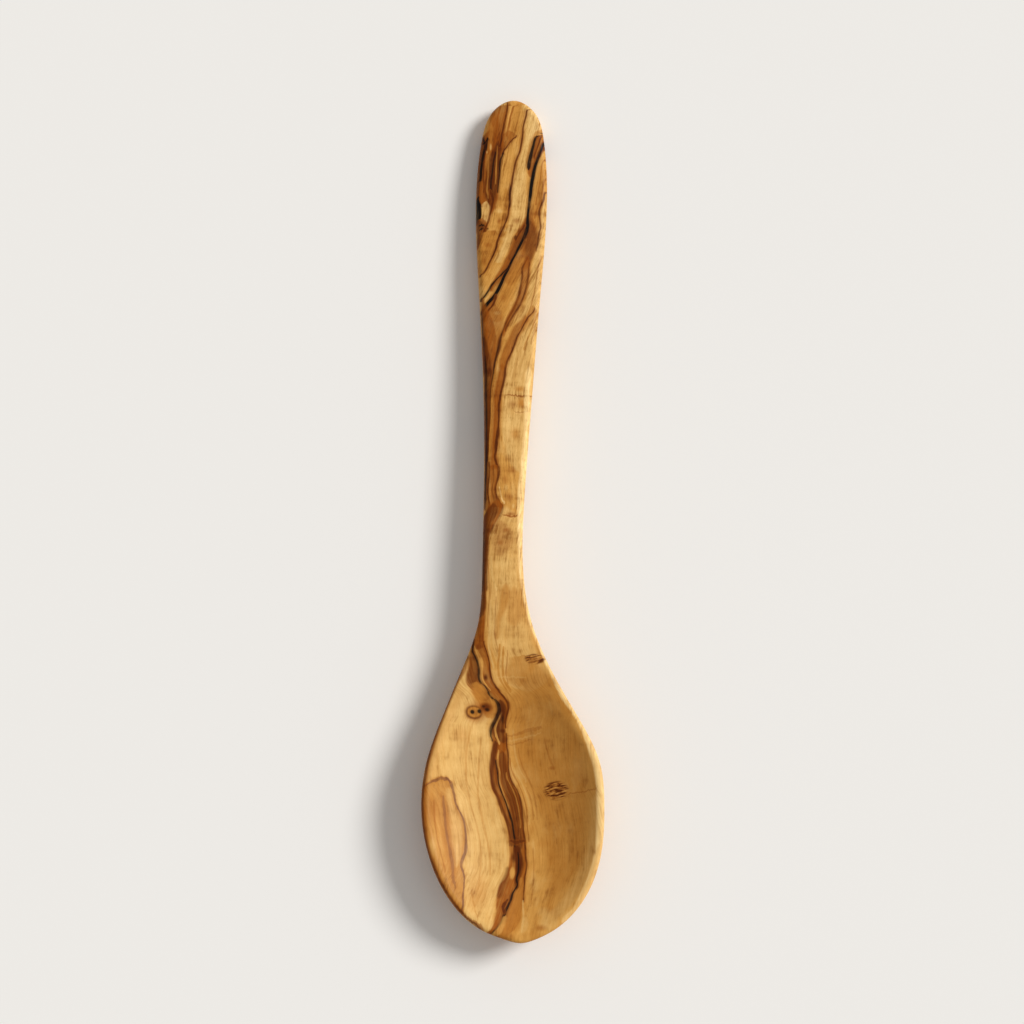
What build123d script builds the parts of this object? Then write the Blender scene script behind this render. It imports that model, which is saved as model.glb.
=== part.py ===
"""A wooden cooking spoon carved from one piece of olive wood.

The spoon lies on its back as on a table: +Z up, the handle towards +Y and the hollow facing up.
It is shaped as a carver shapes it. A blank is sawn to the plan outline, its front and back are
worked to curved surfaces, every long edge is rounded over and the hollow is scooped out. While it
is shaped, Y runs from the bowl's tip and Z from the surface that the spoon rests on.
"""

from build123d import *
from scipy.interpolate import PchipInterpolator
import math
import os

# Plan sizes, in millimetres
overall_length = 305.0
bowl_length = 118.0
bowl_width = 63.4
neck_width = 14.4
handle_width = 26.0

# How far the hand-cut outline strays from a straight axis, to the right where positive
tip_shift = 2.6
neck_shift = -3.7
end_shift = 0.6

# Side view: how high each place lies above the table, and how thick it is along the middle
tip_lift = 8.8
tip_thickness = 6.2
bowl_thickness = 16.0
neck_lift = 4.6
neck_thickness = 10.6
grip_lift = 1.8
grip_thickness = 9.2
end_thickness = 7.4

# Cross-sections: the sawn edge's height between front and back, and the front's low crown
bowl_edge = 6.0
neck_edge = 7.5
grip_edge = 7.1
neck_crown = 0.7
grip_crown = 0.6

# Rounded edges, and the depth of the two flats sanded on the back, on which the spoon rests
front_round = 1.9
back_round = 2.5
flat_depth = 0.35

# The hollow: its depth, the flat land left round it, its lip, and where it stops short of the neck
hollow_depth = 10.0
rim_land = 0.7
lip_round = 0.5
shoulder_length = 21.0
shoulder_arch = 13.0

# Room that a cut runs past the wood, and the spacing and closeness of the curved surfaces
overrun = 4.0
sample_spacing = 5.0
surface_tolerance = 0.01

# Where the bowl and the grip are widest, how flat the keel runs there, and a fillet's part of its edge
widest_share = 0.39
grip_share = 0.6
keel_share = 0.25
fillet_share = 0.45

# How steeply the hollow's wall climbs, the places where the outline is read for the lip, and how
# many faces the sawn edge is cut into
hollow_wall_power = 2.3
lip_count = 120
edge_count = 4

# The outline, as rows of (place along, half width, stray), each a share of the sizes it lies between
tip_shares = [
    (0.010, 0.162, 0.90),
    (0.038, 0.397, 0.60),
    (0.130, 0.743, 0.44),
    (0.255, 0.940, 0.20),
    (0.400, 1.000, -0.05),
]
shoulder_shares = [
    (0.515, 0.945, 0.00),
    (0.650, 0.690, 0.25),
    (0.800, 0.340, 0.62),
    (0.930, 0.100, 0.76),
]
handle_shares = [
    (0.060, 0.00, 0.97),
    (0.200, 0.00, 0.83),
    (0.380, 0.22, 0.48),
    (0.600, 0.66, 0.25),
    (0.800, 0.99, 0.05),
]
end_shares = [
    (1.10, 0.865, 0.60),
    (0.38, 0.620, 1.00),
]

bowl_half = bowl_width / 2
neck_half = neck_width / 2
handle_half = handle_width / 2
handle_length = overall_length - bowl_length
widest_at = widest_share * bowl_length
grip_at = bowl_length + grip_share * handle_length

tip_rows = [(a * bowl_length, h * bowl_half, s * tip_shift) for a, h, s in tip_shares]
shoulder_rows = [
    (a * bowl_length, neck_half + h * (bowl_half - neck_half), s * neck_shift)
    for a, h, s in shoulder_shares
]
handle_rows = [
    (bowl_length + a * handle_length, neck_half + h * (handle_half - neck_half), s * neck_shift)
    for a, h, s in handle_shares
]
end_rows = [(overall_length - a * handle_half, h * handle_half, s * end_shift) for a, h, s in end_shares]
rows = tip_rows + shoulder_rows + handle_rows + end_rows


def curve(*points):
    """A smooth function through points (place, value) that overshoots none of them."""
    fitted = PchipInterpolator(*zip(*points))
    return lambda place: float(fitted(place))


def blend(bowl, neck, grip):
    """A value that changes along the spoon from the bowl's through the neck's to the grip's."""
    return curve((0, bowl), (widest_at, bowl), (bowl_length, neck), (grip_at, grip), (overall_length, grip))


# Everything that changes along the spoon, as a function of the place along it
centre_at = curve((0, tip_shift), *((y, stray) for y, _, stray in rows), (overall_length, end_shift))
spread_at = curve(
    (0, bowl_half),
    (widest_at, bowl_half),
    *((y, half) for y, half, _ in shoulder_rows + handle_rows),
    (overall_length, handle_half),
)
keel_at = curve(
    (0, tip_lift),
    (widest_at / 2, keel_share * tip_lift),
    (widest_at, -flat_depth),
    (bowl_length, neck_lift),
    (grip_at, grip_lift),
    (overall_length, -flat_depth),
)
front_at = curve(
    (0, tip_lift + tip_thickness),
    (widest_at, bowl_thickness),
    (bowl_length, neck_lift + neck_thickness),
    (grip_at, grip_lift + grip_thickness),
    (overall_length, end_thickness),
)
back_roundness_at = blend(
    (bowl_thickness - bowl_edge) / bowl_half,
    (neck_thickness - neck_crown - neck_edge) / neck_half,
    (grip_thickness - grip_crown - grip_edge) / handle_half,
)
front_roundness_at = blend(0, neck_crown / neck_half, grip_crown / handle_half)


def bend(x, y):
    """How far a cross-section has fallen away at x, for a roundness of one."""
    return (x - centre_at(y)) ** 2 / spread_at(y)


def back_height(x, y):
    return keel_at(y) + back_roundness_at(y) * bend(x, y)


def front_height(x, y):
    return front_at(y) - front_roundness_at(y) * bend(x, y)


# The plan outline, from the tip up the right side and down the left
right_side = [(stray + half, y) for y, half, stray in rows]
left_side = [(stray - half, y) for y, half, stray in reversed(rows)]
outline = Spline((tip_shift, 0), *right_side, (end_shift, overall_length), *left_side, periodic=True)


def lip_reach():
    """The hollow's middle, and how far its lip lies from there as a function of the direction.

    The lip follows the outline at the rim's width, and closes in an arch short of the neck.
    """
    middle = Vector(centre_at(widest_at), widest_at)
    arch_top = Vector(middle.X, bowl_length - shoulder_length)
    lip = [arch_top]
    for sample in range(lip_count):
        point, heading = outline @ (sample / lip_count), outline % (sample / lip_count)
        if point.Y < arch_top.Y - shoulder_arch:
            lip.append(point + heading.rotate(Axis.Z, 90) * (front_round + rim_land))
    spokes = sorted((math.atan2(p.Y - middle.Y, p.X - middle.X), (p - middle).length) for p in lip)
    turns = [(angle + turn * math.tau, reach) for turn in (-1, 0, 1) for angle, reach in spokes]
    return middle, curve(*turns)


hollow_middle, lip_at = lip_reach()


def hollow_height(x, y):
    """The scooped floor: deepest in the middle, level with the front at the lip, above it outside."""
    spoke = Vector(x, y) - hollow_middle
    out_share = spoke.length / lip_at(math.atan2(spoke.Y, spoke.X))
    if out_share < 1:
        depth_share = 1 - out_share**hollow_wall_power
    else:
        depth_share = hollow_wall_power * (1 - out_share)
    return front_height(x, y) - depth_share * hollow_depth


def room_above(height, last_place):
    """All the room above a curved surface, from the tip to a last place along the spoon."""
    row_count = math.ceil((last_place + 2 * overrun) / sample_spacing)
    column_count = math.ceil((bowl_width + 2 * overrun) / sample_spacing)
    grid = []
    for row in range(row_count + 1):
        y = (last_place + 2 * overrun) * row / row_count - overrun
        wide = spread_at(y) + overrun
        places = [centre_at(y) + wide * (2 * column / column_count - 1) for column in range(column_count + 1)]
        grid.append([Vector(x, y, height(x, y)) for x in places])
    surface = Face.make_surface_from_array_of_points(grid, surface_tolerance)
    return extrude(surface, 3 * bowl_thickness, dir=(0, 0, 1))


def make_blank():
    """The sawn blank, whose edge is cut into a few faces that meet smoothly."""
    edges = [outline.trim(side / edge_count, (side + 1) / edge_count) for side in range(edge_count)]
    face = Pos(0, 0, -overrun) * make_face(Wire(edges))
    return extrude(face, bowl_thickness + 2 * overrun)


def make_spoon():
    least_edge = min(tip_thickness, bowl_edge, neck_edge, grip_edge, end_thickness)
    spoon = make_blank() & room_above(back_height, overall_length)
    spoon -= room_above(front_height, overall_length)
    spoon = fillet(spoon.faces().sort_by(Axis.Z)[-1].edges(), min(front_round, fillet_share * least_edge))
    spoon = fillet(spoon.faces().sort_by(Axis.Z)[0].edges(), min(back_round, fillet_share * least_edge))

    spoon -= room_above(hollow_height, bowl_length)
    floor = spoon.faces().sort_by_distance(hollow_middle + Vector(0, 0, bowl_thickness))[0]
    spoon = fillet(floor.edges(), lip_round)

    spoon = split(spoon, Plane.XY, Keep.TOP)
    middle = outline.bounding_box().center()
    return Pos(-middle.X, -middle.Y) * spoon


os.makedirs("parts", exist_ok=True)
spoon = make_spoon()
export_step(spoon, "parts/spoon.step")
print("overall", spoon.bounding_box().size, "volume", round(spoon.volume))
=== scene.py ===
"""The looks of a one-piece olive-wood cooking spoon, lying on its back on a pale table.

The spoon's mesh is carved from the same outline and side view as its solid, with softer, hand-worked
edges. Its figure is a solid pattern: strokes and knots that run through the wood, drawn where the
photograph shows them and cut by the spoon's surface. A few strokes along its edges are painted
highlight on the right-hand rim and painted shade down the left edges. Places along the spoon run from
the bowl's tip while it is carved.
"""

import functools
import math
from typing import NamedTuple

import bpy
import numpy as np
from bpy.props import FloatProperty, FloatVectorProperty, PointerProperty
from mathutils import Matrix, Vector, noise
from mathutils.bvhtree import BVHTree
from mathutils.geometry import delaunay_2d_cdt


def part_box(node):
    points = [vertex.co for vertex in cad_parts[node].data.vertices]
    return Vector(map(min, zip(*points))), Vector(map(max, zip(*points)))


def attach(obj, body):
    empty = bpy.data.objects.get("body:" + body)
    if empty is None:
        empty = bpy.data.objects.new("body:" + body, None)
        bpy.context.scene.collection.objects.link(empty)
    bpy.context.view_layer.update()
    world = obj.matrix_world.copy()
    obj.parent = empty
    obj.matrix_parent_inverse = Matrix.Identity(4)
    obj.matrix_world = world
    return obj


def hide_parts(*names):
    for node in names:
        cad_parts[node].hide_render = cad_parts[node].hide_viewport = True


bl_info = {
    "name": "Olive-wood cooking spoon",
    "version": (1, 0, 0),
    "blender": (4, 5, 0),
    "location": "View3D > Sidebar > Spoon",
    "description": "Carves a one-piece olive-wood cooking spoon and lays it on a pale table",
    "category": "Object",
}

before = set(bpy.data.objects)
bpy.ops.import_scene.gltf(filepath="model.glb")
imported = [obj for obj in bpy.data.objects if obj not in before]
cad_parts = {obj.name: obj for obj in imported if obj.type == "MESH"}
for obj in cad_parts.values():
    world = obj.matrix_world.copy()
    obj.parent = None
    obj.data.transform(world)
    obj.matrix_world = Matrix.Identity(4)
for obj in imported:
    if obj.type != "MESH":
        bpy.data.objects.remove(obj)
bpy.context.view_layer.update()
cad_low, cad_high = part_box("spoon")

MM = 0.001


def paint(red, green, blue):
    """A colour as a screen shows it, from 0 to 255, turned into the light that it stands for."""
    shares = [part / 255 for part in (red, green, blue)]
    return tuple(s / 12.92 if s <= 0.04045 else ((s + 0.055) / 1.055) ** 2.4 for s in shares)


def size(name, description, default):
    return FloatProperty(name=name, description=description, default=default, unit="LENGTH")


def tint(name, description, *screen_colour):
    return FloatVectorProperty(
        name=name, description=description, default=paint(*screen_colour), subtype="COLOR", min=0, max=1
    )


class SpoonSizes(bpy.types.PropertyGroup):
    overall_length: size("Length", "From the bowl's tip to the handle's end", cad_high.y - cad_low.y)
    bowl_length: size("Bowl length", "From the tip to the neck", 118 * MM)
    bowl_width: size("Bowl width", "Across the bowl's widest part", cad_high.x - cad_low.x)
    neck_width: size("Neck width", "Across the slimmest part", 14.4 * MM)
    handle_width: size("Handle width", "Across the grip", 26 * MM)
    hollow_depth: size("Hollow depth", "From the rim down to the hollow's floor", 10 * MM)


class WoodTints(bpy.types.PropertyGroup):
    golden: tint("Golden wood", "Most of the wood", 209, 150, 71)
    pale: tint("Pale wood", "Light layers and the bowl's left half", 223, 177, 104)
    # The lightest tint is pale wood in its streaks, and painted highlight where it lies along the lit
    # right-hand rim and edges.
    cream: tint("Cream wood and highlight", "The lightest streaks and the right-hand rim", 247, 207, 138)
    # Amber, brown and umber also paint shade down the spoon's left edges, where its sides face away from
    # the light.
    amber: tint("Amber wood", "Warm, slightly darker layers", 187, 122, 46)
    brown: tint("Brown heartwood", "The broad dark layers", 148, 75, 10)
    umber: tint("Umber heartwood", "The darkest layers", 90, 36, 1)
    ink: tint("Black line", "The thin black lines between layers", 18, 7, 2)
    plum: tint("Plum line", "The faint ring in the bowl", 118, 70, 48)


class TableStage(bpy.types.PropertyGroup):
    key_strength: FloatProperty(name="Key light", description="Strength of the window light", default=2.7)
    sky_strength: FloatProperty(name="Room light", description="Light from all round", default=0.42)
    table_tint: tint("Table", "Colour of the table top", 243, 240, 235)


# Smooth curves


def hermite(at, places, values, slopes):
    """The cubic through values at places with the given slopes, read at any places."""
    at = np.asarray(at, float)
    span = np.clip(np.searchsorted(places, at, side="right") - 1, 0, len(places) - 2)
    width = places[span + 1] - places[span]
    s = (at - places[span]) / width
    if values.ndim > 1:
        s, width = s[..., None], width[..., None]
    start = (1 + 2 * s) * (1 - s) ** 2 * values[span] + s * (1 - s) ** 2 * width * slopes[span]
    end = s**2 * (3 - 2 * s) * values[span + 1] + s**2 * (s - 1) * width * slopes[span + 1]
    return start + end


def end_slope(near_gap, far_gap, near_rise, far_rise):
    slope = ((2 * near_gap + far_gap) * near_rise - near_gap * far_rise) / (near_gap + far_gap)
    if slope * near_rise <= 0:
        return 0.0
    if near_rise * far_rise <= 0 and abs(slope) > 3 * abs(near_rise):
        return 3 * near_rise
    return slope


def curve(*points):
    """A smooth function through points (place, value) that overshoots none of them."""
    places, values = np.array(points, float).T
    gaps = np.diff(places)
    rises = np.diff(values) / gaps
    slopes = np.zeros(len(places))
    for i in range(1, len(places) - 1):
        if rises[i - 1] * rises[i] > 0:
            before, after = 2 * gaps[i] + gaps[i - 1], gaps[i] + 2 * gaps[i - 1]
            slopes[i] = (before + after) / (before / rises[i - 1] + after / rises[i])
    slopes[0] = end_slope(gaps[0], gaps[1], rises[0], rises[1])
    slopes[-1] = end_slope(gaps[-1], gaps[-2], rises[-1], rises[-2])
    return lambda place: hermite(place, places, values, slopes)


def closed_curve(points):
    """A smooth closed curve through plan points, as a function of the way round, and its full way."""
    points = np.array(points + points[:1], float)
    gaps = np.linalg.norm(np.diff(points, axis=0), axis=1)
    rises = np.diff(points, axis=0) / gaps[:, None]
    count = len(gaps)
    system = np.zeros((count, count))
    wanted = np.zeros((count, 2))
    for i in range(count):
        before, after = gaps[i - 1], gaps[i]
        system[i, i - 1] += after
        system[i, i] += 2 * (before + after)
        system[i, (i + 1) % count] += before
        wanted[i] = 3 * (after * rises[i - 1] + before * rises[i])
    slopes = np.linalg.solve(system, wanted)
    places = np.concatenate([[0], np.cumsum(gaps)])
    slopes = np.vstack([slopes, slopes[:1]])
    return lambda way: hermite(way, places, points, slopes), places[-1]


def ease(low, high, value):
    """Rises smoothly from 0 at low to 1 at high."""
    share = np.clip((np.asarray(value) - low) / (high - low), 0, 1)
    return share * share * (3 - 2 * share)


# The carved shape

TIP_SHIFT = 2.6 * MM
NECK_SHIFT = -3.7 * MM
END_SHIFT = 0.6 * MM
TIP_LIFT = 8.8 * MM
TIP_THICKNESS = 6.2 * MM
BOWL_THICKNESS = 16 * MM
BOWL_EDGE = 6 * MM
NECK_LIFT = 4.6 * MM
NECK_THICKNESS = 10.6 * MM
NECK_EDGE = 7.5 * MM
NECK_CROWN = 0.7 * MM
GRIP_LIFT = 1.8 * MM
GRIP_THICKNESS = 9.2 * MM
GRIP_EDGE = 7.1 * MM
GRIP_CROWN = 0.6 * MM
END_THICKNESS = 7.4 * MM
FLAT_DEPTH = 0.35 * MM

# How far the back's edge is rounded over, and the front's, in millimetres at places along the spoon
BACK_ROUND = 2.6 * MM
FRONT_ROUNDS = ((0, 1.2), (30, 1.3), (84, 1.2), (98, 1.1), (112, 1.2), (150, 1.9), (305, 1.8))
SANDED_OFF = 0.02 * MM

# The hollow: the land between rim and lip, the lip's softness along the rim and in the arch that closes
# it, where along the bowl the one gives way to the other, and how steeply the wall climbs
LIP_LAND = 1.1 * MM
LIP_SOFTNESS = 0.6 * MM
ARCH_SOFTNESS = 5 * MM
SOFTENING_SHARES = (0.58, 0.8)
SHOULDER_LENGTH = 20 * MM
SHOULDER_ARCH = 14 * MM
WALL_POWER = 2.3

# The shallow facets that the knife leaves: how deep, how far apart, and how drawn out along the spoon
TOOL_MARK = 0.07 * MM
TOOL_MARK_LENGTH = 16 * MM
TOOL_MARK_SQUEEZE = 0.6

# Where the bowl and the grip are widest, and how much of the tip's lift the keel keeps half way there
WIDEST_SHARE = 0.39
GRIP_SHARE = 0.6
KEEL_SHARE = 0.25

# The outline, as rows of (place along, half width, stray), each a share of the sizes it lies between
TIP_SHARES = [
    (0.010, 0.162, 0.90),
    (0.038, 0.397, 0.60),
    (0.130, 0.743, 0.44),
    (0.255, 0.940, 0.20),
    (0.400, 1.000, -0.05),
]
SHOULDER_SHARES = [
    (0.515, 0.945, 0.00),
    (0.650, 0.690, 0.25),
    (0.800, 0.340, 0.62),
    (0.930, 0.100, 0.76),
]
HANDLE_SHARES = [
    (0.060, 0.00, 0.97),
    (0.200, 0.00, 0.83),
    (0.380, 0.22, 0.48),
    (0.600, 0.66, 0.25),
    (0.800, 0.99, 0.05),
]
END_SHARES = [(1.10, 0.865, 0.60), (0.38, 0.620, 1.00)]

# The mesh: how finely the outline is walked and the lip is read from it, the spacing round it and over
# the faces, and where the rings beside its edges lie, as shares of their reach
FINE_COUNT = 8000
LIP_STRIDE = 6
RING_SPACING = 0.75 * MM
FACE_SPACING = 1.0 * MM
CLEAR_SHARE = 0.7
ROUND_STEPS = 7
WALL_STEPS = 3
LIP_REACH = 2.2 * MM
LIP_SHARES = (0.15, 0.3, 0.4, 0.46, 0.52, 0.58, 0.66, 0.78, 1.0)
BACK_REACH = 1.2 * MM
BACK_SHARES = (0.3, 1.0)


class Carving:
    """The spoon's plan and the heights of its front and back, from its sizes."""

    def __init__(self, sizes):
        self.length = sizes.overall_length
        self.bowl_length = sizes.bowl_length
        self.hollow_depth = sizes.hollow_depth
        self.bowl_half = sizes.bowl_width / 2
        self.neck_half = sizes.neck_width / 2
        self.handle_half = sizes.handle_width / 2
        self.handle_length = self.length - self.bowl_length
        self.widest_at = WIDEST_SHARE * self.bowl_length
        self.grip_at = self.bowl_length + GRIP_SHARE * self.handle_length
        self.set_plan()
        self.set_side_view()
        self.set_cross_sections()
        self.set_outline()
        self.set_lip()

    def set_plan(self):
        """The rows of the plan, and its middle and half width as they change along the spoon."""
        bowl, neck, handle = self.bowl_half, self.neck_half, self.handle_half
        tip_rows = [(a * self.bowl_length, h * bowl, s * TIP_SHIFT) for a, h, s in TIP_SHARES]
        shoulder_rows = [
            (a * self.bowl_length, neck + h * (bowl - neck), s * NECK_SHIFT) for a, h, s in SHOULDER_SHARES
        ]
        handle_rows = [
            (self.bowl_length + a * self.handle_length, neck + h * (handle - neck), s * NECK_SHIFT)
            for a, h, s in HANDLE_SHARES
        ]
        end_rows = [(self.length - a * handle, h * handle, s * END_SHIFT) for a, h, s in END_SHARES]
        self.rows = tip_rows + shoulder_rows + handle_rows + end_rows
        strays = [(y, stray) for y, _, stray in self.rows]
        self.centre = curve((0, TIP_SHIFT), *strays, (self.length, END_SHIFT))
        halves = [(y, half) for y, half, _ in shoulder_rows + handle_rows]
        self.spread = curve((0, bowl), (self.widest_at, bowl), *halves, (self.length, handle))

    def set_side_view(self):
        """The heights of the back's keel and the front's crest along the middle."""
        self.keel = curve(
            (0, TIP_LIFT),
            (self.widest_at / 2, KEEL_SHARE * TIP_LIFT),
            (self.widest_at, -FLAT_DEPTH),
            (self.bowl_length, NECK_LIFT),
            (self.grip_at, GRIP_LIFT),
            (self.length, -FLAT_DEPTH),
        )
        self.crest = curve(
            (0, TIP_LIFT + TIP_THICKNESS),
            (self.widest_at, BOWL_THICKNESS),
            (self.bowl_length, NECK_LIFT + NECK_THICKNESS),
            (self.grip_at, GRIP_LIFT + GRIP_THICKNESS),
            (self.length, END_THICKNESS),
        )

    def blend(self, bowl, neck, grip):
        """A value that changes along the spoon from the bowl's through the neck's to the grip's."""
        ends = (self.grip_at, grip), (self.length, grip)
        return curve((0, bowl), (self.widest_at, bowl), (self.bowl_length, neck), *ends)

    def set_cross_sections(self):
        """How round the back and the front are, and how far the front's edge is rounded over."""
        self.back_roundness = self.blend(
            (BOWL_THICKNESS - BOWL_EDGE) / self.bowl_half,
            (NECK_THICKNESS - NECK_CROWN - NECK_EDGE) / self.neck_half,
            (GRIP_THICKNESS - GRIP_CROWN - GRIP_EDGE) / self.handle_half,
        )
        self.front_roundness = self.blend(0, NECK_CROWN / self.neck_half, GRIP_CROWN / self.handle_half)
        self.front_round = curve(*((y * MM, round_over * MM) for y, round_over in FRONT_ROUNDS))

    def set_outline(self):
        """Evenly spaced points round the plan, and the direction inward from each."""
        right = [(stray + half, y) for y, half, stray in self.rows]
        left = [(stray - half, y) for y, half, stray in reversed(self.rows)]
        outline, way = closed_curve([(TIP_SHIFT, 0), *right, (END_SHIFT, self.length), *left])
        fine = outline(np.linspace(0, way, FINE_COUNT))
        walked = np.concatenate([[0], np.cumsum(np.linalg.norm(np.diff(fine, axis=0), axis=1))])
        count = round(walked[-1] / RING_SPACING)
        even = np.linspace(0, walked[-1], count, endpoint=False)
        self.outline = np.column_stack([np.interp(even, walked, fine[:, axis]) for axis in (0, 1)])
        heading = np.roll(self.outline, -1, axis=0) - np.roll(self.outline, 1, axis=0)
        heading /= np.linalg.norm(heading, axis=1)[:, None]
        self.inward = np.column_stack([-heading[:, 1], heading[:, 0]])
        self.outline += self.inward * SANDED_OFF
        self.middle = (fine.min(0) + fine.max(0)) / 2

    def set_lip(self):
        """The lip follows the rim, and closes in an arch short of the neck."""
        self.hollow_middle = np.array([self.centre(self.widest_at), self.widest_at])
        arch_top = np.array([self.hollow_middle[0], self.bowl_length - SHOULDER_LENGTH])
        rim_width = self.front_round(self.outline[:, 1]) + LIP_LAND
        rim = self.outline + self.inward * rim_width[:, None]
        rim = rim[self.outline[:, 1] < arch_top[1] - SHOULDER_ARCH][::LIP_STRIDE]
        spokes = np.vstack([rim, arch_top]) - self.hollow_middle
        angles = np.arctan2(spokes[:, 1], spokes[:, 0])
        order = np.argsort(angles)
        reaches = np.linalg.norm(spokes, axis=1)
        turns = [(angles[i] + turn * math.tau, reaches[i]) for turn in (-1, 0, 1) for i in order]
        self.lip = curve(*turns)

    def bend(self, x, y):
        """How far a cross-section has fallen away at x, for a roundness of one."""
        return (x - self.centre(y)) ** 2 / self.spread(y)

    def front(self, x, y):
        """The front's height, hollow and all, with the lip softened more towards the neck."""
        top = self.crest(y) - self.front_roundness(y) * self.bend(x, y)
        spoke = np.column_stack([x, y]) - self.hollow_middle
        out_share = np.linalg.norm(spoke, axis=1) / self.lip(np.arctan2(spoke[:, 1], spoke[:, 0]))
        depth_share = np.where(
            out_share < 1, 1 - np.minimum(out_share, 1) ** WALL_POWER, WALL_POWER * (1 - out_share)
        )
        floor = top - depth_share * self.hollow_depth
        near_neck = ease(*(share * self.bowl_length for share in SOFTENING_SHARES), y)
        softness = LIP_SOFTNESS + (ARCH_SOFTNESS - LIP_SOFTNESS) * near_neck
        lowest = np.minimum(top, floor)
        softened = lowest - np.maximum(softness - abs(top - floor), 0) ** 2 / (4 * softness)
        return softened - tool_marks(x, y, 1)

    def back(self, x, y):
        """The back's height, with its two flats at the level of the table."""
        low = self.keel(y) + self.back_roundness(y) * self.bend(x, y)
        return np.maximum(low + tool_marks(x, y, -1), 0)


def tool_marks(x, y, side):
    """How deep the carver's knife has left its shallow, uneven facets."""
    places = np.column_stack([x, TOOL_MARK_SQUEEZE * y, np.full(len(x), side * TOOL_MARK_LENGTH)])
    places /= TOOL_MARK_LENGTH
    return np.array([TOOL_MARK / 2 * (1 + noise.noise(Vector(place))) for place in places])


def lie_inside(places, ring):
    """Which plan places lie inside a closed ring of plan points."""
    inside = np.zeros(len(places), bool)
    for (x, y), (next_x, next_y) in zip(ring, np.roll(ring, -1, axis=0)):
        if y != next_y:
            passing = (y <= places[:, 1]) != (next_y <= places[:, 1])
            crossing = x + (next_x - x) * (places[:, 1] - y) / (next_y - y)
            inside ^= passing & (places[:, 0] < crossing)
    return inside


def fill_inside(ring):
    """Triangles over the inside of a closed ring of plan points: (extra points, triangles)."""
    low, high = ring.min(0), ring.max(0)
    row_step = FACE_SPACING * math.sqrt(3) / 2
    grid = []
    for row, y in enumerate(np.arange(low[1], high[1], row_step)):
        shift = FACE_SPACING / 2 * (row % 2)
        grid += [(x + shift, y) for x in np.arange(low[0], high[0], FACE_SPACING)]
    grid = np.array(grid)
    clear = np.ones(len(grid), bool)
    for corner in ring:
        clear &= ((grid - corner) ** 2).sum(1) > (CLEAR_SHARE * FACE_SPACING) ** 2
    extra = grid[clear & lie_inside(grid, ring)]
    places = np.vstack([ring, extra])
    edges = [(i, (i + 1) % len(ring)) for i in range(len(ring))]
    triangles = np.array(delaunay_2d_cdt([Vector(p) / MM for p in places], edges, [], 0, 1e-6, False)[2])
    kept = lie_inside(places[triangles].mean(1), ring)
    return extra, triangles[kept].tolist()


def edge_rings(carving):
    """Closed rings of points over the back's edge, up the wall, over the front's edge and into the lip."""
    round_over = carving.front_round(carving.outline[:, 1])
    turn = np.linspace(0, math.pi / 2, ROUND_STEPS + 1)

    def ring(insets, height, drops, side):
        places = carving.outline + carving.inward * np.asarray(insets).reshape(-1, 1)
        return np.column_stack([places, height(places[:, 0], places[:, 1]) - side * drops])

    back = [ring(BACK_ROUND + share * BACK_REACH, carving.back, 0, -1) for share in reversed(BACK_SHARES)]
    back += [
        ring(BACK_ROUND * (1 - math.cos(angle)), carving.back, BACK_ROUND * (1 - math.sin(angle)), -1)
        for angle in reversed(turn)
    ]
    front = [
        ring(round_over * (1 - math.cos(angle)), carving.front, round_over * (1 - math.sin(angle)), 1)
        for angle in turn
    ]
    wall = [back[-1] + (front[0] - back[-1]) * step / WALL_STEPS for step in range(1, WALL_STEPS)]
    lip = [ring(round_over + share * LIP_REACH, carving.front, 0, 1) for share in LIP_SHARES]
    return back + wall + front + lip


def join_rings(ring_count, count):
    """The four-sided faces between neighbouring rings of points."""
    faces = []
    for low in range(0, (ring_count - 1) * count, count):
        high = low + count
        for i in range(count):
            j = (i + 1) % count
            faces.append((low + i, low + j, high + j, high + i))
    return faces


def carve_mesh(carving):
    """The spoon's closed mesh: rings over its edges and wall, and filled faces inside them."""
    rings = edge_rings(carving)
    count = len(carving.outline)
    points = np.vstack(rings)
    faces = join_rings(len(rings), count)
    top = len(points) - count
    for height, side, first in ((carving.back, -1, 0), (carving.front, 1, top)):
        extra, triangles = fill_inside(points[first : first + count, :2])
        base = len(points) - count
        points = np.vstack([points, np.column_stack([extra, height(extra[:, 0], extra[:, 1])])])
        for triangle in triangles:
            corners = [first + i if i < count else base + i for i in triangle]
            faces.append(corners[::side])

    points[:, :2] -= carving.middle
    mesh = bpy.data.meshes.new("olive_wood_spoon")
    mesh.from_pydata(points.tolist(), [], faces)
    mesh.validate()
    mesh.shade_smooth()
    return mesh


# The camera, and places on the spoon seen through it

IMAGE_SIZE = 1024
FOCAL_PIXELS = 2389.1
SENSOR = 36 * MM
CAMERA_DISTANCE = 0.85
CAMERA_TILT = math.radians(10)
CAMERA_YAW = math.radians(3)
CAMERA_AIM = Vector((0, -1.53 * MM, 8 * MM))


class Viewpoint:
    """The photograph's viewpoint: its place and its three directions."""

    def __init__(self):
        across, along = -math.sin(CAMERA_YAW), -math.sin(CAMERA_TILT)
        self.back = Vector((across, along, math.sqrt(1 - across**2 - along**2)))
        self.right = Vector((0, 1, 0)).cross(self.back).normalized()
        self.up = self.back.cross(self.right)
        self.eye = CAMERA_AIM + CAMERA_DISTANCE * self.back

    def ray(self, px, py):
        """The direction in which a point of the photograph lies."""
        across, down = (px - IMAGE_SIZE / 2) / FOCAL_PIXELS, (py - IMAGE_SIZE / 2) / FOCAL_PIXELS
        return (self.right * across - self.up * down - self.back).normalized()


PIXEL = CAMERA_DISTANCE / FOCAL_PIXELS

# The solid that holds the wood's figure is a cube with this side; a pixel's share of it
FIELD = 0.32
SCALE = PIXEL / FIELD


# Material nodes


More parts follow.
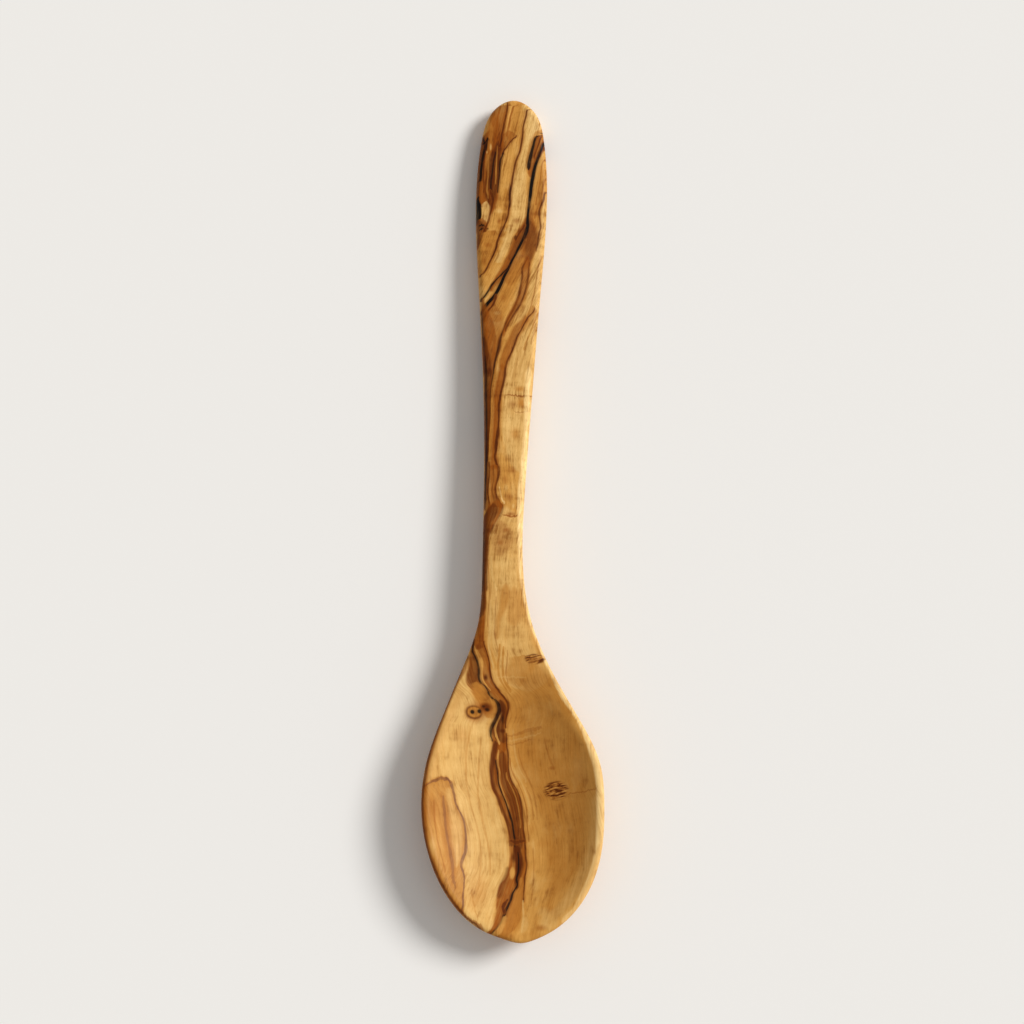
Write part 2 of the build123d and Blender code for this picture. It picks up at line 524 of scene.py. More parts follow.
class Value:
    """A number that varies over the surface. Arithmetic on it adds Math nodes to its material."""

    def __init__(self, shop, socket):
        self.shop = shop
        self.socket = socket

    def math(self, operation, *others):
        return self.shop.value("ShaderNodeMath", {"operation": operation}, dict(enumerate((self, *others))))

    def __add__(self, other):
        return self.math("ADD", other)

    def __sub__(self, other):
        return self.math("SUBTRACT", other)

    def __rsub__(self, other):
        return self.shop.value("ShaderNodeMath", {"operation": "SUBTRACT"}, {0: other, 1: self})

    def __mul__(self, other):
        return self.math("MULTIPLY", other)

    def __truediv__(self, other):
        return self.math("DIVIDE", other)

    def __abs__(self):
        return self.math("ABSOLUTE")

    __radd__ = __add__
    __rmul__ = __mul__

    def spread(self, low, high, start=0.0, end=1.0):
        """This value's place between low and high, eased into a value from start to end."""
        settings = {"interpolation_type": "SMOOTHSTEP", "clamp": False}
        return self.shop.value("ShaderNodeMapRange", settings, {0: self, 1: low, 2: high, 3: start, 4: end})

    def along(self, points):
        """A curve through points (place, value) with both from 0 to 1, read at this value."""
        return self.shop.value("ShaderNodeFloatCurve", {"curve": points}, {1: self})


class Shop:
    """One node tree, whose nodes all come from node()."""

    def __init__(self, tree):
        self.tree = tree
        self.tree.nodes.clear()

    def node(self, kind, settings=None, inputs=None):
        node = self.tree.nodes.new(kind)
        for name, setting in (settings or {}).items():
            if name == "curve":
                self.set_curve(node.mapping, setting)
            else:
                setattr(node, name, setting)
        for key, value in (inputs or {}).items():
            if isinstance(value, Value):
                self.tree.links.new(value.socket, node.inputs[key])
            else:
                node.inputs[key].default_value = value
        return node

    def value(self, kind, settings=None, inputs=None, output=0):
        return Value(self, self.node(kind, settings, inputs).outputs[output])

    @staticmethod
    def set_curve(mapping, points):
        mapping.extend = "HORIZONTAL"
        mapping.clip_min_x = points[0][0]
        mapping.clip_max_x = points[-1][0]
        line = mapping.curves[0]
        line.points[0].location = points[0]
        line.points[1].location = points[-1]
        for place, value in points[1:-1]:
            line.points.new(place, value)
        for point in line.points:
            point.handle_type = "AUTO_CLAMPED"
        mapping.update()

    def mix(self, under, over, share):
        """One colour laid over another by a share from 0 to 1."""
        return self.value("ShaderNodeMix", {"data_type": "RGBA"}, {0: share, 6: under, 7: over}, output=2)

    def scaled(self, vector, factors, shift=(0, 0, 0)):
        return self.value(
            "ShaderNodeVectorMath", {"operation": "MULTIPLY_ADD"}, {0: vector, 1: factors, 2: shift}
        )

    def noise(self, vector, scale, detail, roughness):
        inputs = {"Vector": vector, "Scale": scale, "Detail": detail, "Roughness": roughness}
        return self.value("ShaderNodeTexNoise", None, inputs)

    def coat(self, looks):
        """Gives the material its surface: one shader with these looks."""
        surface = self.value("ShaderNodeBsdfPrincipled", None, looks)
        self.node("ShaderNodeOutputMaterial", None, {0: surface})

    def group(self, name, values, make):
        """A named group of nodes: make() turns its shop and its values into one colour."""
        tree = bpy.data.node_groups.new(name, "ShaderNodeTree")
        inner = Shop(tree)
        kinds = {"RGBA": "NodeSocketColor", "VALUE": "NodeSocketFloat", "VECTOR": "NodeSocketVector"}
        for key, value in values.items():
            tree.interface.new_socket(name=key, in_out="INPUT", socket_type=kinds[value.socket.type])
        tree.interface.new_socket(name="Colour", in_out="OUTPUT", socket_type="NodeSocketColor")
        entry = inner.node("NodeGroupInput")
        made = make(inner, *(Value(inner, entry.outputs[key]) for key in values))
        inner.node("NodeGroupOutput", None, {0: made})
        return self.value("ShaderNodeGroup", {"node_tree": tree}, values)


# The figure of the wood, read from the photograph in its pixels


class Band(NamedTuple):
    """A layer with a left and a right edge (some are strips of painted highlight and painted shade along
    the spoon's edges): rows of (y, left x, right x), from the handle's end down.
    """

    tint: str
    strength: float
    edge: float
    rows: tuple
    taper: float = 2


class Line(NamedTuple):
    """A thin layer seen end on (a few are thin lines of painted shade along the left edges): rows of (x, y,
    width), from the handle's end down.
    """

    tint: str
    strength: float
    rows: tuple


class Cross(NamedTuple):
    """A mark across the grain: rows of (x, y, width), from left to right."""

    tint: str
    strength: float
    rows: tuple


class Blot(NamedTuple):
    """A knot or an island: centre x and y, radius across and along, and how soft its edge is."""

    tint: str
    strength: float
    x: float
    y: float
    across: float
    along: float
    softness: float


HANDLE_END = (
    Band("pale", 0.85, 5, (
        (99, 520, 526), (104, 523, 534), (110, 525, 540), (120, 524.5, 545), (130, 524, 548),
        (138, 524, 534), (150, 522, 531), (165, 517, 527), (180, 513, 526), (195, 511, 526),
        (210, 511, 526), (222, 509, 523), (235, 506, 514), (250, 500, 508), (262, 496, 501),
    )),
    # Partly lighter wood and partly painted highlight: the lightest band at the handle's top right, where
    # light from the right falls on the end's rounded edge.
    Band("cream", 0.5, 9, (
        (103, 528, 531), (112, 530, 541), (122, 531, 543), (132, 531, 537), (142, 531, 532),
    ), 8),
    Band("golden", 0.7, 4, (
        (140, 504, 513), (150, 502, 517), (165, 502, 514), (180, 502, 511), (192, 505, 509),
    )),
    Band("amber", 0.6, 4, (
        (98, 513, 520), (108, 512.5, 520), (120, 511, 519), (130, 509, 518), (137, 507, 515),
    ), 6),
    Band("brown", 0.8, 4, (
        (101, 503, 508), (106, 496, 508), (113, 492, 507.5), (122, 489, 506), (132, 486, 505),
        (142, 482, 503), (150, 480, 501),
    ), 8),
    Band("brown", 0.6, 5, (
        (116, 491, 497), (124, 490, 499), (132, 488, 501), (140, 486, 502), (147, 484, 502),
    ), 14),
    Band("brown", 0.7, 3, (
        (133, 505, 514), (137, 500, 515), (141, 497, 512), (146, 496, 507), (152, 494, 503),
    ), 5),
    Band("brown", 0.95, 4, (
        (138, 481, 500), (141, 480, 503), (147, 478, 504), (154, 477, 502), (163, 475, 500.5),
        (172, 475, 499.8), (188, 474, 499), (197, 474, 499), (203, 476, 497), (209, 489, 495),
    ), 14),
    Band("umber", 0.85, 4, (
        (146, 495, 501), (155, 490, 501), (165, 486, 500), (178, 485, 499), (190, 484, 497),
        (199, 486, 496), (205, 488, 494),
    ), 12),
    Band("umber", 0.6, 3, (
        (140, 480, 485), (150, 479, 485), (165, 477, 483), (180, 476, 481), (193, 475, 479),
    ), 10),
    Band("amber", 0.5, 3, ((128, 488, 493), (140, 487, 493), (152, 486, 491), (166, 485, 488.5)), 10),
    Line("amber", 0.8, ((497.4, 146, 0.8), (497, 158, 1.4), (496.2, 170, 1.6), (495.6, 184, 1.2))),
    Line("amber", 0.6, ((488.4, 158, 0.8), (488, 172, 1.2), (487.2, 188, 1.4), (488, 198, 1))),
    Blot("pale", 0.6, 490.5, 147, 1.6, 5, 0.7),
    Blot("pale", 0.5, 486.8, 152, 1.2, 2.5, 0.7),
    Line("brown", 0.8, (
        (514.4, 100, 1.5), (514, 106, 1.8), (512.2, 111, 2), (510.3, 117, 2), (509, 124, 2),
        (507.4, 131, 1.8), (506.5, 137, 1.2),
    )),
    Line("umber", 0.9, (
        (507.6, 103, 1.2), (506.4, 113, 1.8), (504.4, 122, 2), (503.2, 129, 2), (502, 134, 1.8),
        (500.5, 143, 1.6), (499.6, 147, 1),
    )),
    Line("brown", 0.7, ((500.6, 106, 1), (498, 116, 1.8), (496.6, 126, 1.8), (495.4, 137, 1.4))),
    Line("umber", 0.9, ((516.5, 135.5, 1), (512, 140, 1.6), (506.5, 147, 1.6), (502.8, 154, 1.8))),
    Line("ink", 0.8, (
        (502.8, 153, 1), (500.5, 160, 1.8), (499.6, 167, 2), (499.2, 174, 1.8), (498.5, 183, 1.4),
        (497.8, 192, 1),
    )),
    Line("ink", 0.8, (
        (495.5, 152, 0.6), (494.3, 159, 1.4), (493, 167, 1.8), (491.8, 175, 2), (490.7, 184, 2.4),
        (491.2, 190, 2.4), (493, 195, 2.2), (493.4, 199, 2),
    )),
    Line("umber", 0.8, (
        (484.9, 144, 1), (484.8, 152, 1.7), (483.6, 165, 1.6), (483.3, 179, 1.2), (484, 192, 1),
    )),
    Line("ink", 0.95, (
        (483, 138, 0.5), (481.3, 142, 2.2), (480, 149, 2.6), (478.8, 157, 2.6), (477.6, 167, 3),
        (476.9, 178, 2.6), (476.8, 184, 0.6),
    )),
    Line("ink", 0.9, ((487.6, 138.8, 1.6), (486.9, 141, 2), (486.6, 145, 1.8), (485.9, 150, 1.1))),
    Cross("ink", 0.9, ((482.4, 144.6, 1.2), (484.5, 143.2, 2.2), (486.6, 140.4, 2.2), (487.8, 138.8, 1.2))),
    Band("amber", 0.8, 3, (
        (120, 545, 548), (126, 541, 548), (132, 536, 547), (140, 531, 536), (150, 528, 534),
        (162, 526, 531), (172, 527, 530),
    ), 5),
    Band("brown", 0.9, 2.5, (
        (126, 545, 549), (131, 541, 549), (137, 536, 549), (144, 534.5, 546.5), (152, 533, 543),
        (160, 531, 538.5), (168, 528.5, 535), (176, 529, 533),
    ), 5),
    Band("umber", 0.7, 2.5, (
        (127, 547, 549), (132, 545, 549), (140, 541, 549), (148, 539, 545), (156, 537, 541),
    )),
    Line("umber", 0.8, (
        (545, 131, 1), (541.5, 137, 1.6), (538.8, 143, 1.6), (536.4, 150, 1.6), (534.2, 158, 1.2),
    )),
    Line("ink", 0.95, (
        (546, 127.6, 1), (544.2, 129.6, 1.6), (540.5, 133.2, 2), (536.8, 136.2, 2.4), (534.4, 140, 2.4),
        (533.1, 146, 2.6), (531.5, 152.5, 3), (530, 159, 3.6), (529, 164.5, 3.6), (528.7, 169, 1.6),
    )),
    Line("amber", 0.7, ((543, 136, 0.8), (540.6, 142, 1.2), (538.4, 149, 1.4), (536.6, 157, 1))),
)

LONG_BLACK_LINE = (
    Band("golden", 0.7, 3, (
        (146, 545, 549), (165, 538, 549), (180, 534, 549), (195, 532, 549), (210, 531, 545),
        (222, 531, 541),
    )),
    Band("amber", 0.75, 5, (
        (170, 539, 545), (182, 536, 544), (194, 533, 543), (206, 532, 542), (216, 531, 541),
        (226, 530, 539),
    ), 12),
    Line("brown", 0.55, (
        (545.4, 150, 0.8), (543.2, 162, 1.2), (541, 176, 1.2), (538.6, 190, 1.2), (536, 204, 1.4),
    )),
    Line("brown", 0.5, (
        (547.4, 166, 0.8), (545.4, 180, 1.2), (542.4, 192, 1.2), (538, 206, 1.6), (535, 218, 1.2),
    )),
    Blot("brown", 0.55, 540.6, 204, 3, 8, 0.9),
    Blot("brown", 0.5, 535.4, 214, 3.4, 6, 0.9),
    Band("brown", 0.8, 5, (
        (212, 529.6, 532), (220, 528, 534), (229, 526, 537), (239, 524, 538), (247, 520, 537),
        (254, 517, 534.5), (262, 513, 531), (271, 509, 524), (281, 504, 516),
    ), 8),
    Band("umber", 0.6, 5, (
        (220, 528, 530), (226, 527, 535), (233, 526, 538), (241, 525.5, 538), (249, 525, 536),
        (258, 526, 532), (266, 526, 529),
    ), 12),
    Band("amber", 0.7, 6, (
        (262, 516, 528), (272, 510, 524), (282, 505, 518), (294, 500, 514), (306, 494, 509),
        (316, 489, 504),
    ), 10),
    Band("brown", 0.9, 3, (
        (219, 524.5, 527), (229, 520, 527), (236, 514, 526), (243, 511, 522), (250, 509, 519),
        (257, 506.5, 515), (265, 502.5, 511), (272, 498.5, 507), (280, 494, 501), (290, 490, 494),
    ), 5),
    Band("umber", 0.5, 3, (
        (224, 523, 527), (232, 518, 525), (240, 515, 521), (249, 512, 518), (259, 508, 513),
    )),
    Band("brown", 0.8, 3, (
        (296, 494, 496), (304, 488, 493.5), (311, 484, 490.5), (320, 482, 488), (335, 481, 488),
        (350, 482, 488), (365, 482, 488),
    ), 5),
    Band("brown", 0.55, 5, (
        (308, 486, 498), (318, 485, 503), (330, 484, 502), (342, 485, 500), (356, 485, 496),
        (370, 485, 493),
    ), 10),
    Line("ink", 1.0, (
        (543, 143, 1), (542, 147, 1.8), (540.2, 152.5, 2.2), (538.2, 158, 2.8), (536.3, 163, 3),
        (534.7, 168.5, 3.2), (532.6, 178, 3.4), (531.5, 184.5, 3.4), (530, 197, 3.2), (528.9, 206, 2.6),
        (528, 212, 2.4), (527.5, 221, 3), (526.6, 230, 3.4), (524.7, 236, 3.4), (522.2, 241.3, 2.8),
        (519, 247.7, 2.8), (515.8, 254, 2.6), (512, 260.5, 2.6), (508.4, 268, 3), (504.6, 275.6, 3),
        (501.2, 283.2, 3.4), (498, 290, 3.6), (494.8, 295.2, 4.2), (491.7, 299.2, 4.4), (487.2, 304, 4.4),
        (484, 309, 4), (481.6, 314, 3.4),
    )),
    Blot("ink", 0.85, 515.7, 237.6, 2.2, 3.4, 0.6),
    Line("umber", 0.85, ((524, 225, 1), (521, 231, 1.8), (518.5, 235, 2), (516, 240, 1.4))),
    Line("ink", 0.9, (
        (509, 265, 0.8), (504.8, 270.5, 1.8), (501, 275.2, 1.8), (497, 279.2, 2), (492, 284.8, 2.4),
        (488.1, 291, 2.4), (484.2, 296.8, 2.6), (481.2, 301, 3),
    )),
    Line("umber", 0.9, (
        (496.2, 295, 1.2), (494, 301.8, 2), (491.8, 306.4, 2), (488.7, 309.8, 2), (486.2, 314.5, 1.8),
        (484.6, 321, 1.4),
    )),
    Line("ink", 0.8, (
        (481.8, 312, 1), (482.1, 323, 1.8), (482.6, 333, 1.8), (483.7, 346, 2), (484.4, 358, 2),
        (484.5, 372, 2.2),
    )),
    Blot("pale", 0.35, 497, 313, 5, 3, 0.9),
    Blot("brown", 0.4, 503, 298, 5, 6, 0.9),
)

HANDLE_LEFT = (
    Band("pale", 0.8, 3, ((203, 483, 488), (208, 482, 490), (216, 482, 489), (221, 483, 487)), 3),
    Band("ink", 1.0, 1.6, (
        (193, 475, 476), (200, 475, 479.2), (205, 475, 481.2), (213, 475, 481.8), (219, 475, 481.2),
        (224.5, 475, 478),
    ), 3),
    Band("brown", 0.85, 3, (
        (220, 478, 485), (228, 476, 488), (235, 476, 485), (242, 477, 482), (249, 476, 479),
    ), 3),
    Band("umber", 0.6, 3, ((222, 477, 482), (230, 476, 484), (238, 476, 481), (244, 476, 479)), 3),
    Cross("ink", 0.9, ((479, 226, 1), (482, 225.2, 1.8), (485, 226.2, 1.8), (488, 228.6, 1))),
    Cross("ink", 0.9, ((479.5, 230.4, 1), (482.5, 228.6, 2), (486, 230.3, 1.8))),
    Line("umber", 0.9, (
        (490.4, 190, 1.2), (492.2, 196, 2.6), (493.2, 200, 2.6), (492, 205, 2.4), (491.2, 210, 2),
        (490, 215, 2), (488.6, 221, 2.2), (486.6, 226, 2.2), (484.4, 230.5, 2.2), (481.6, 236.5, 2),
        (478.9, 243.6, 2), (478, 248, 1),
    )),
    Blot("brown", 0.8, 500.5, 221.5, 5.5, 4.2, 0.8),
    Blot("brown", 0.55, 517, 221, 6, 4.6, 0.9),
    Blot("brown", 0.85, 493.6, 232.5, 4.4, 3.6, 0.8),
    Blot("pale", 0.6, 499.4, 211, 5, 4, 0.9),
    Blot("pale", 0.65, 508.6, 230, 9, 3.2, 0.9),
    Blot("pale", 0.5, 505, 239, 7, 3, 0.9),
    Blot("brown", 0.4, 511, 225.6, 4, 2.4, 0.9),
    Band("amber", 0.85, 5, (
        (234, 482, 498), (242, 480, 496), (250, 478, 495), (258, 477, 491), (266, 477, 487),
        (274, 478, 483),
    ), 5),
    Blot("brown", 0.6, 488, 245, 6, 4, 0.9),
    Blot("brown", 0.45, 484, 261, 4, 7, 0.9),
    Band("amber", 0.8, 3, (
        (190, 504.6, 508), (200, 504.5, 510), (208, 504, 509), (216, 502, 508), (222, 500, 506),
        (228, 498, 502),
    ), 5),
    Line("umber", 0.9, (
        (529.6, 103.5, 1), (528, 109.7, 1.6), (526.2, 116, 1.8), (524.5, 121.5, 1.8), (523.2, 127, 1.6),
        (522.9, 134, 1.6), (521.3, 144.5, 1.8), (519.6, 152, 1.8), (517.2, 158, 1.8), (515.3, 164, 2),
        (514, 170.5, 2), (512.8, 177, 2), (511.8, 183.5, 2.2), (510.3, 190, 2.6), (509.8, 197, 2.6),
        (510, 203, 2.2), (509, 208.5, 2), (508.2, 215, 1.8), (506.4, 220.7, 1.8), (504.4, 225, 1.7),
        (502.2, 230.2, 1.7), (499.2, 236.5, 1.8), (496.9, 242, 2), (496.2, 247, 2.4), (494.6, 252, 1.8),
        (492.4, 256.6, 1.8), (489.6, 262, 2), (486.7, 268, 2), (483.4, 273, 2), (480, 276.6, 2),
    )),
    Line("ink", 0.5, ((510.6, 186, 0.6), (509.8, 194, 2.2), (509.9, 201, 2), (509.3, 207, 0.6))),
)

HANDLE_RIGHT = (
    Band("pale", 0.78, 4, (
        (198, 545, 549), (214, 541, 549), (228, 539.5, 548), (242, 538, 548), (256, 535, 548),
        (270, 531.5, 546), (285, 529.5, 546), (300, 526, 545), (315, 520, 544), (330, 514, 543),
        (345, 509.5, 541), (360, 507, 540), (378, 505, 538), (400, 503, 536), (430, 502, 534),
        (450, 506, 532), (466, 512, 528),
    ), 10),
    Line("umber", 0.8, (
        (547.4, 186, 0.8), (544.9, 193, 1.4), (543, 200.5, 1.8), (540.6, 206, 1.8), (539.2, 212, 2),
        (539.8, 219, 1.4), (540.6, 227, 1.5), (539.2, 232.5, 1.6), (538.3, 238, 1.6), (537.4, 245, 1.5),
        (536, 250.5, 1),
    )),
    Line("brown", 0.6, (
        (541, 256, 0.8), (538, 268, 1.2), (536, 282, 1.2), (533, 298, 1.4), (528, 314, 1.2),
        (521.6, 327, 1),
    )),
    Line("amber", 0.7, (
        (544.6, 262, 1), (542, 280, 1.6), (540, 300, 1.6), (536, 318, 1.6), (530, 334, 1.4),
        (524, 350, 1.2),
    )),
    Line("brown", 0.45, ((543, 300, 0.8), (540.6, 316, 1.3), (536, 330, 1.3), (531, 344, 1.2))),
    Line("umber", 0.85, (
        (527.5, 257, 1), (525.6, 261.5, 1.8), (523.6, 265.5, 2), (522.2, 270.5, 2.2), (522.4, 275.5, 2.2),
        (521.6, 281, 2.2), (520.2, 288, 2.4), (519, 294.2, 2.2), (517, 300.5, 2.2), (514, 308.2, 2.4),
        (510.8, 313.6, 2.4), (507.8, 319, 2.4), (505.8, 323.7, 2.4), (504, 329.8, 2.6), (501.4, 335.6, 2.6),
        (499.8, 342, 3.2), (498.8, 348.5, 3.6), (497.4, 354, 3.4), (495.6, 359.4, 2.6), (494, 366, 2.4),
        (493.4, 371.5, 2.6), (491.8, 381, 2.6), (490.6, 391, 2.6), (489.9, 401, 2.6), (489.4, 416, 2.6),
        (488.8, 429, 2.6), (488, 442, 2.6), (487.2, 455, 2.4), (486.6, 466, 1.8),
    )),
    Line("ink", 0.6, (
        (519.5, 291, 0.4), (514, 308.2, 1.1), (506, 323.5, 1.1), (501.4, 335.6, 1.3), (499, 346, 1.8),
        (496, 358, 1.3), (493.4, 371.5, 1.8), (491.3, 385, 1.8), (489.9, 401, 1.8), (489.4, 416, 1.8),
        (488, 442, 1.8), (487, 458, 1.2),
    )),
    Band("brown", 0.65, 3, (
        (258, 525, 529), (276, 523, 529.6), (290, 520, 527.6), (304, 514, 522), (316, 507.5, 515),
        (326, 504, 509), (334, 502, 506),
    ), 6),
    Line("umber", 0.7, (
        (529.4, 262, 0.8), (528.8, 268, 1.4), (527.6, 281, 1.8), (525.1, 291, 1.8), (522.4, 299, 1.8),
        (519.8, 305, 1.6), (516, 311, 1.6), (511.2, 318.4, 1.6), (507.4, 325, 1.8), (505.6, 331, 0.8),
    )),
    Band("amber", 0.75, 4, (
        (308, 530, 535), (318, 522, 533), (328, 513, 527), (337, 509, 520), (346, 505, 515.5),
        (356, 501.5, 511), (366, 498, 507),
    ), 6),
    Band("brown", 0.65, 4, (
        (318, 523, 528), (326, 514, 523), (334, 510, 518), (341, 507, 516), (349, 503.5, 513),
        (357, 501, 509.5), (366, 498.6, 506.5), (380, 495, 504), (394, 492.8, 501), (410, 491.8, 499.4),
        (425, 491.3, 498.8), (440, 491, 498), (455, 490, 497), (466, 489.6, 498),
    ), 6),
    Band("brown", 0.65, 3, (
        (366, 500, 505), (376, 497.6, 504), (386, 496, 503), (398, 494.4, 499.6), (420, 494, 498.6),
        (436, 493, 498), (452, 492, 496.6), (464, 491, 498),
    ), 6),
    Line("brown", 0.7, (
        (499.4, 372, 0.8), (496.6, 386, 1.2), (495.2, 400, 1.2), (495, 420, 1.2), (494, 440, 1.2),
        (493, 458, 1),
    )),
    Line("umber", 0.9, (
        (534.5, 308, 0.6), (527.5, 318.4, 1.4), (521, 330, 1.6), (517.4, 336.4, 1.8), (515.3, 342.8, 1.9),
        (512.7, 349.2, 2), (509.6, 355.6, 2), (506.6, 363, 2), (505.3, 369, 2.2), (504.7, 375, 2.4),
        (503.4, 383, 2.4), (501.5, 390.5, 2.2), (499.9, 398.4, 2.2), (498.9, 406, 2.2), (498.9, 416, 2),
        (498.5, 426, 2.2), (497.5, 435.5, 3.2), (496.4, 444.7, 3.2), (495.6, 452, 2.2), (494.8, 456, 2),
        (496.4, 463.4, 2.2), (498.3, 471, 2.6), (498.2, 475.6, 2.6), (496.9, 481, 2.2), (495.7, 485.4, 2.2),
        (495.3, 491, 2), (496.6, 497, 2.2), (499, 501, 2.2), (501.5, 505, 2.2), (502.2, 509.4, 2.2),
        (500.8, 514, 2.2), (498.2, 518, 2.2), (495.6, 522.3, 2.2), (493.2, 526.6, 2.2), (490.6, 531.3, 2.2),
        (488.8, 536, 2.4), (487.6, 541.5, 2.4), (487.2, 554, 2.2), (487, 570, 1.8), (486.6, 590, 1.2),
    )),
    # Partly dark grain and partly painted shade: the brown and umber bands and the black line down the
    # handle's left edge, the side that faces away from the light.
    Band("brown", 0.8, 2.5, (
        (300, 482, 484), (325, 483, 494), (338, 484, 496), (352, 484, 496), (366, 483, 493),
        (380, 483, 491.5), (398, 483, 490), (420, 484, 489.4), (440, 484.5, 488.6), (458, 484, 488.5),
        (480, 483.5, 489), (497, 483, 489.5), (506, 484, 490),
    ), 10),
    Band("umber", 0.75, 2.5, (
        (340, 483, 486), (352, 483, 489), (366, 483, 491.6), (382, 483, 490.6), (400, 483, 489.4),
        (420, 484, 489), (445, 484.5, 488.4), (466, 484, 488), (490, 483, 487), (500, 483, 487),
    ), 8),
    Line("ink", 0.7, (
        (485.4, 356, 0.8), (486, 372, 2), (486, 392, 2), (486.4, 415, 1.6), (486.6, 440, 1.6),
        (486.4, 458, 2), (486, 474, 2.2), (485.3, 484, 2.2), (485, 494, 2.2), (484.7, 504, 1.6),
        (484.5, 510, 0.6),
    )),
    Line("amber", 0.8, (
        (496.6, 362, 0.8), (494.8, 370, 1.4), (492.6, 386, 1.6), (491.6, 400, 1.6), (491.2, 416, 1.6),
        (490.6, 432, 1.6), (490, 448, 1.6), (489.6, 462, 1.2),
    )),
)

NECK = (
    Band("pale", 0.6, 8, (
        (520, 492, 520), (560, 488, 519), (600, 488, 521), (630, 488, 527), (655, 494, 538),
        (676, 504, 548),
    ), 20),
    Blot("amber", 0.75, 520, 389, 9, 4.5, 0.9),
    Blot("amber", 0.95, 522, 403, 8.5, 10, 0.9),
    Blot("brown", 0.4, 512, 404, 6, 7, 0.9),
    Cross("brown", 0.7, ((506, 394.6, 0.8), (514, 395.4, 1.6), (522, 396.4, 2), (531, 396, 1.6))),
    Cross("brown", 0.5, ((514, 411.6, 0.8), (521, 412.4, 1.4), (530, 412, 1))),
    Blot("pale", 0.6, 510, 418, 5, 8, 0.9),
    Blot("amber", 0.7, 515, 434, 6, 9, 0.9),
    Blot("pale", 0.5, 509, 450, 4, 9, 0.9),
    Blot("brown", 0.5, 512, 470, 6.5, 6, 0.9),
    Blot("brown", 0.35, 505, 480, 5, 7, 0.9),
    Blot("brown", 0.55, 509, 497, 6, 7, 0.9),
    Blot("pale", 0.6, 513.4, 506, 2.4, 4, 0.9),
    Blot("pale", 0.5, 506, 488, 3, 5, 0.9),
    Blot("brown", 0.7, 511, 514, 7, 3.4, 0.9),
    Cross("brown", 0.8, ((503, 514.6, 0.8), (508, 516, 1.8), (514, 516.4, 2), (519, 515, 1))),
    Blot("pale", 0.5, 511, 521, 7, 2.4, 0.9),
    Line("umber", 0.85, (
        (489.2, 462, 1), (489.5, 469, 1.6), (489.3, 476, 1.6), (488.3, 484, 1.6), (487.6, 491, 1.6),
        (488.8, 499.4, 1.8), (489.8, 504.6, 2), (488.4, 509.5, 2.2), (486.4, 514, 2.2), (484.8, 519, 2.2),
        (484.4, 528, 2.2), (484, 538, 2),
    )),
    Band("brown", 0.75, 3, (
        (466, 490, 498), (480, 490, 496.5), (492, 490, 495.5), (500, 490.5, 499), (506, 489.5, 502),
    )),
    Line("umber", 0.5, (
        (493.2, 466, 0.8), (493.4, 478, 1.2), (492, 490, 1.2), (493.6, 499, 1.4), (494.4, 507, 1.2),
    )),
    # Partly dark grain and partly painted shade: the brown and umber bands and the faint black line down
    # the neck's left edge, the side that faces away from the light.
    Band("brown", 0.9, 3, (
        (503, 492, 501), (509, 488, 502.4), (514, 486, 500.8), (519, 484, 498), (525, 482, 494.4),
        (531, 482, 491), (538, 482, 488.6), (548, 481, 487.8), (560, 481, 487.2), (575, 480, 486.4),
        (590, 479, 486.2), (602, 479, 486.8), (612, 478, 486), (622, 477, 485.2), (634, 474, 484.6),
        (646, 471, 483.8),
    ), 5),
    Band("umber", 0.8, 3, (
        (506, 490, 496), (511, 487, 498), (516, 484, 496), (523, 481, 491.4), (530, 481, 489.5),
        (540, 481, 488), (552, 480, 487), (566, 480, 486.4), (580, 480, 485.8), (596, 479, 486),
        (606, 478, 486), (614, 477, 484),
    ), 6),
    Line("ink", 0.5, (
        (484, 532, 1), (483.2, 550, 2.4), (483, 566, 2.4), (482.8, 582, 2), (482.2, 592, 0.8),
    )),
    Line("cream", 0.55, (
        (499.4, 487, 0.8), (499.7, 490, 1.4), (500.9, 495, 1.6), (502.3, 499.5, 1.6), (504, 504, 1),
    )),
    Band("brown", 0.45, 7, (
        (524, 495, 506), (531, 493, 512), (539, 492, 514), (547, 493, 510), (554, 496, 504),
    ), 7),
    Blot("brown", 0.6, 506, 530, 5, 3.4, 0.9),
    Blot("brown", 0.55, 500, 542.5, 5, 5, 0.9),
    Blot("pale", 0.5, 509, 537, 4, 3, 0.9),
    Blot("pale", 0.4, 493, 534, 2.4, 4, 0.9),
    Blot("pale", 0.6, 503, 562, 11, 9, 0.9),
    Blot("pale", 0.35, 506, 580, 9, 9, 0.9),
    Band("amber", 0.75, 5, (
        (586, 503, 508), (594, 500, 510.5), (603, 499.5, 508), (611, 498, 505), (619, 496, 501.5),
        (628, 495.5, 500), (637, 495, 499),
    ), 6),
    Band("amber", 0.55, 7, ((590, 511, 518), (600, 509, 522), (611, 508, 523), (622, 508, 520)), 8),
    Line("brown", 0.45, (
        (496.6, 596, 0.8), (495.4, 610, 1.4), (494.6, 624, 1.4), (495.4, 638, 1.2), (498, 652, 1),
    )),
    Line("brown", 0.5, (
        (488.4, 560, 0.8), (489, 576, 1.2), (489.6, 592, 1.2), (488.6, 610, 1.2), (487.6, 626, 1.2),
    )),
    Line("pale", 0.7, ((491.5, 556, 1), (492, 566, 2), (492.6, 577, 2), (495, 584, 2), (497, 590, 1))),
    Line("pale", 0.7, (
        (490.8, 600, 1), (491, 618, 2.4), (490, 632, 2.8), (489.4, 645, 2.6), (491, 658, 2),
        (493.5, 668, 1),
    )),
    Line("pale", 0.55, ((494.4, 610, 1), (494, 622, 2), (493.4, 634, 2), (494, 645, 1))),
    Blot("pale", 0.4, 514, 645, 10, 12, 0.9),
)

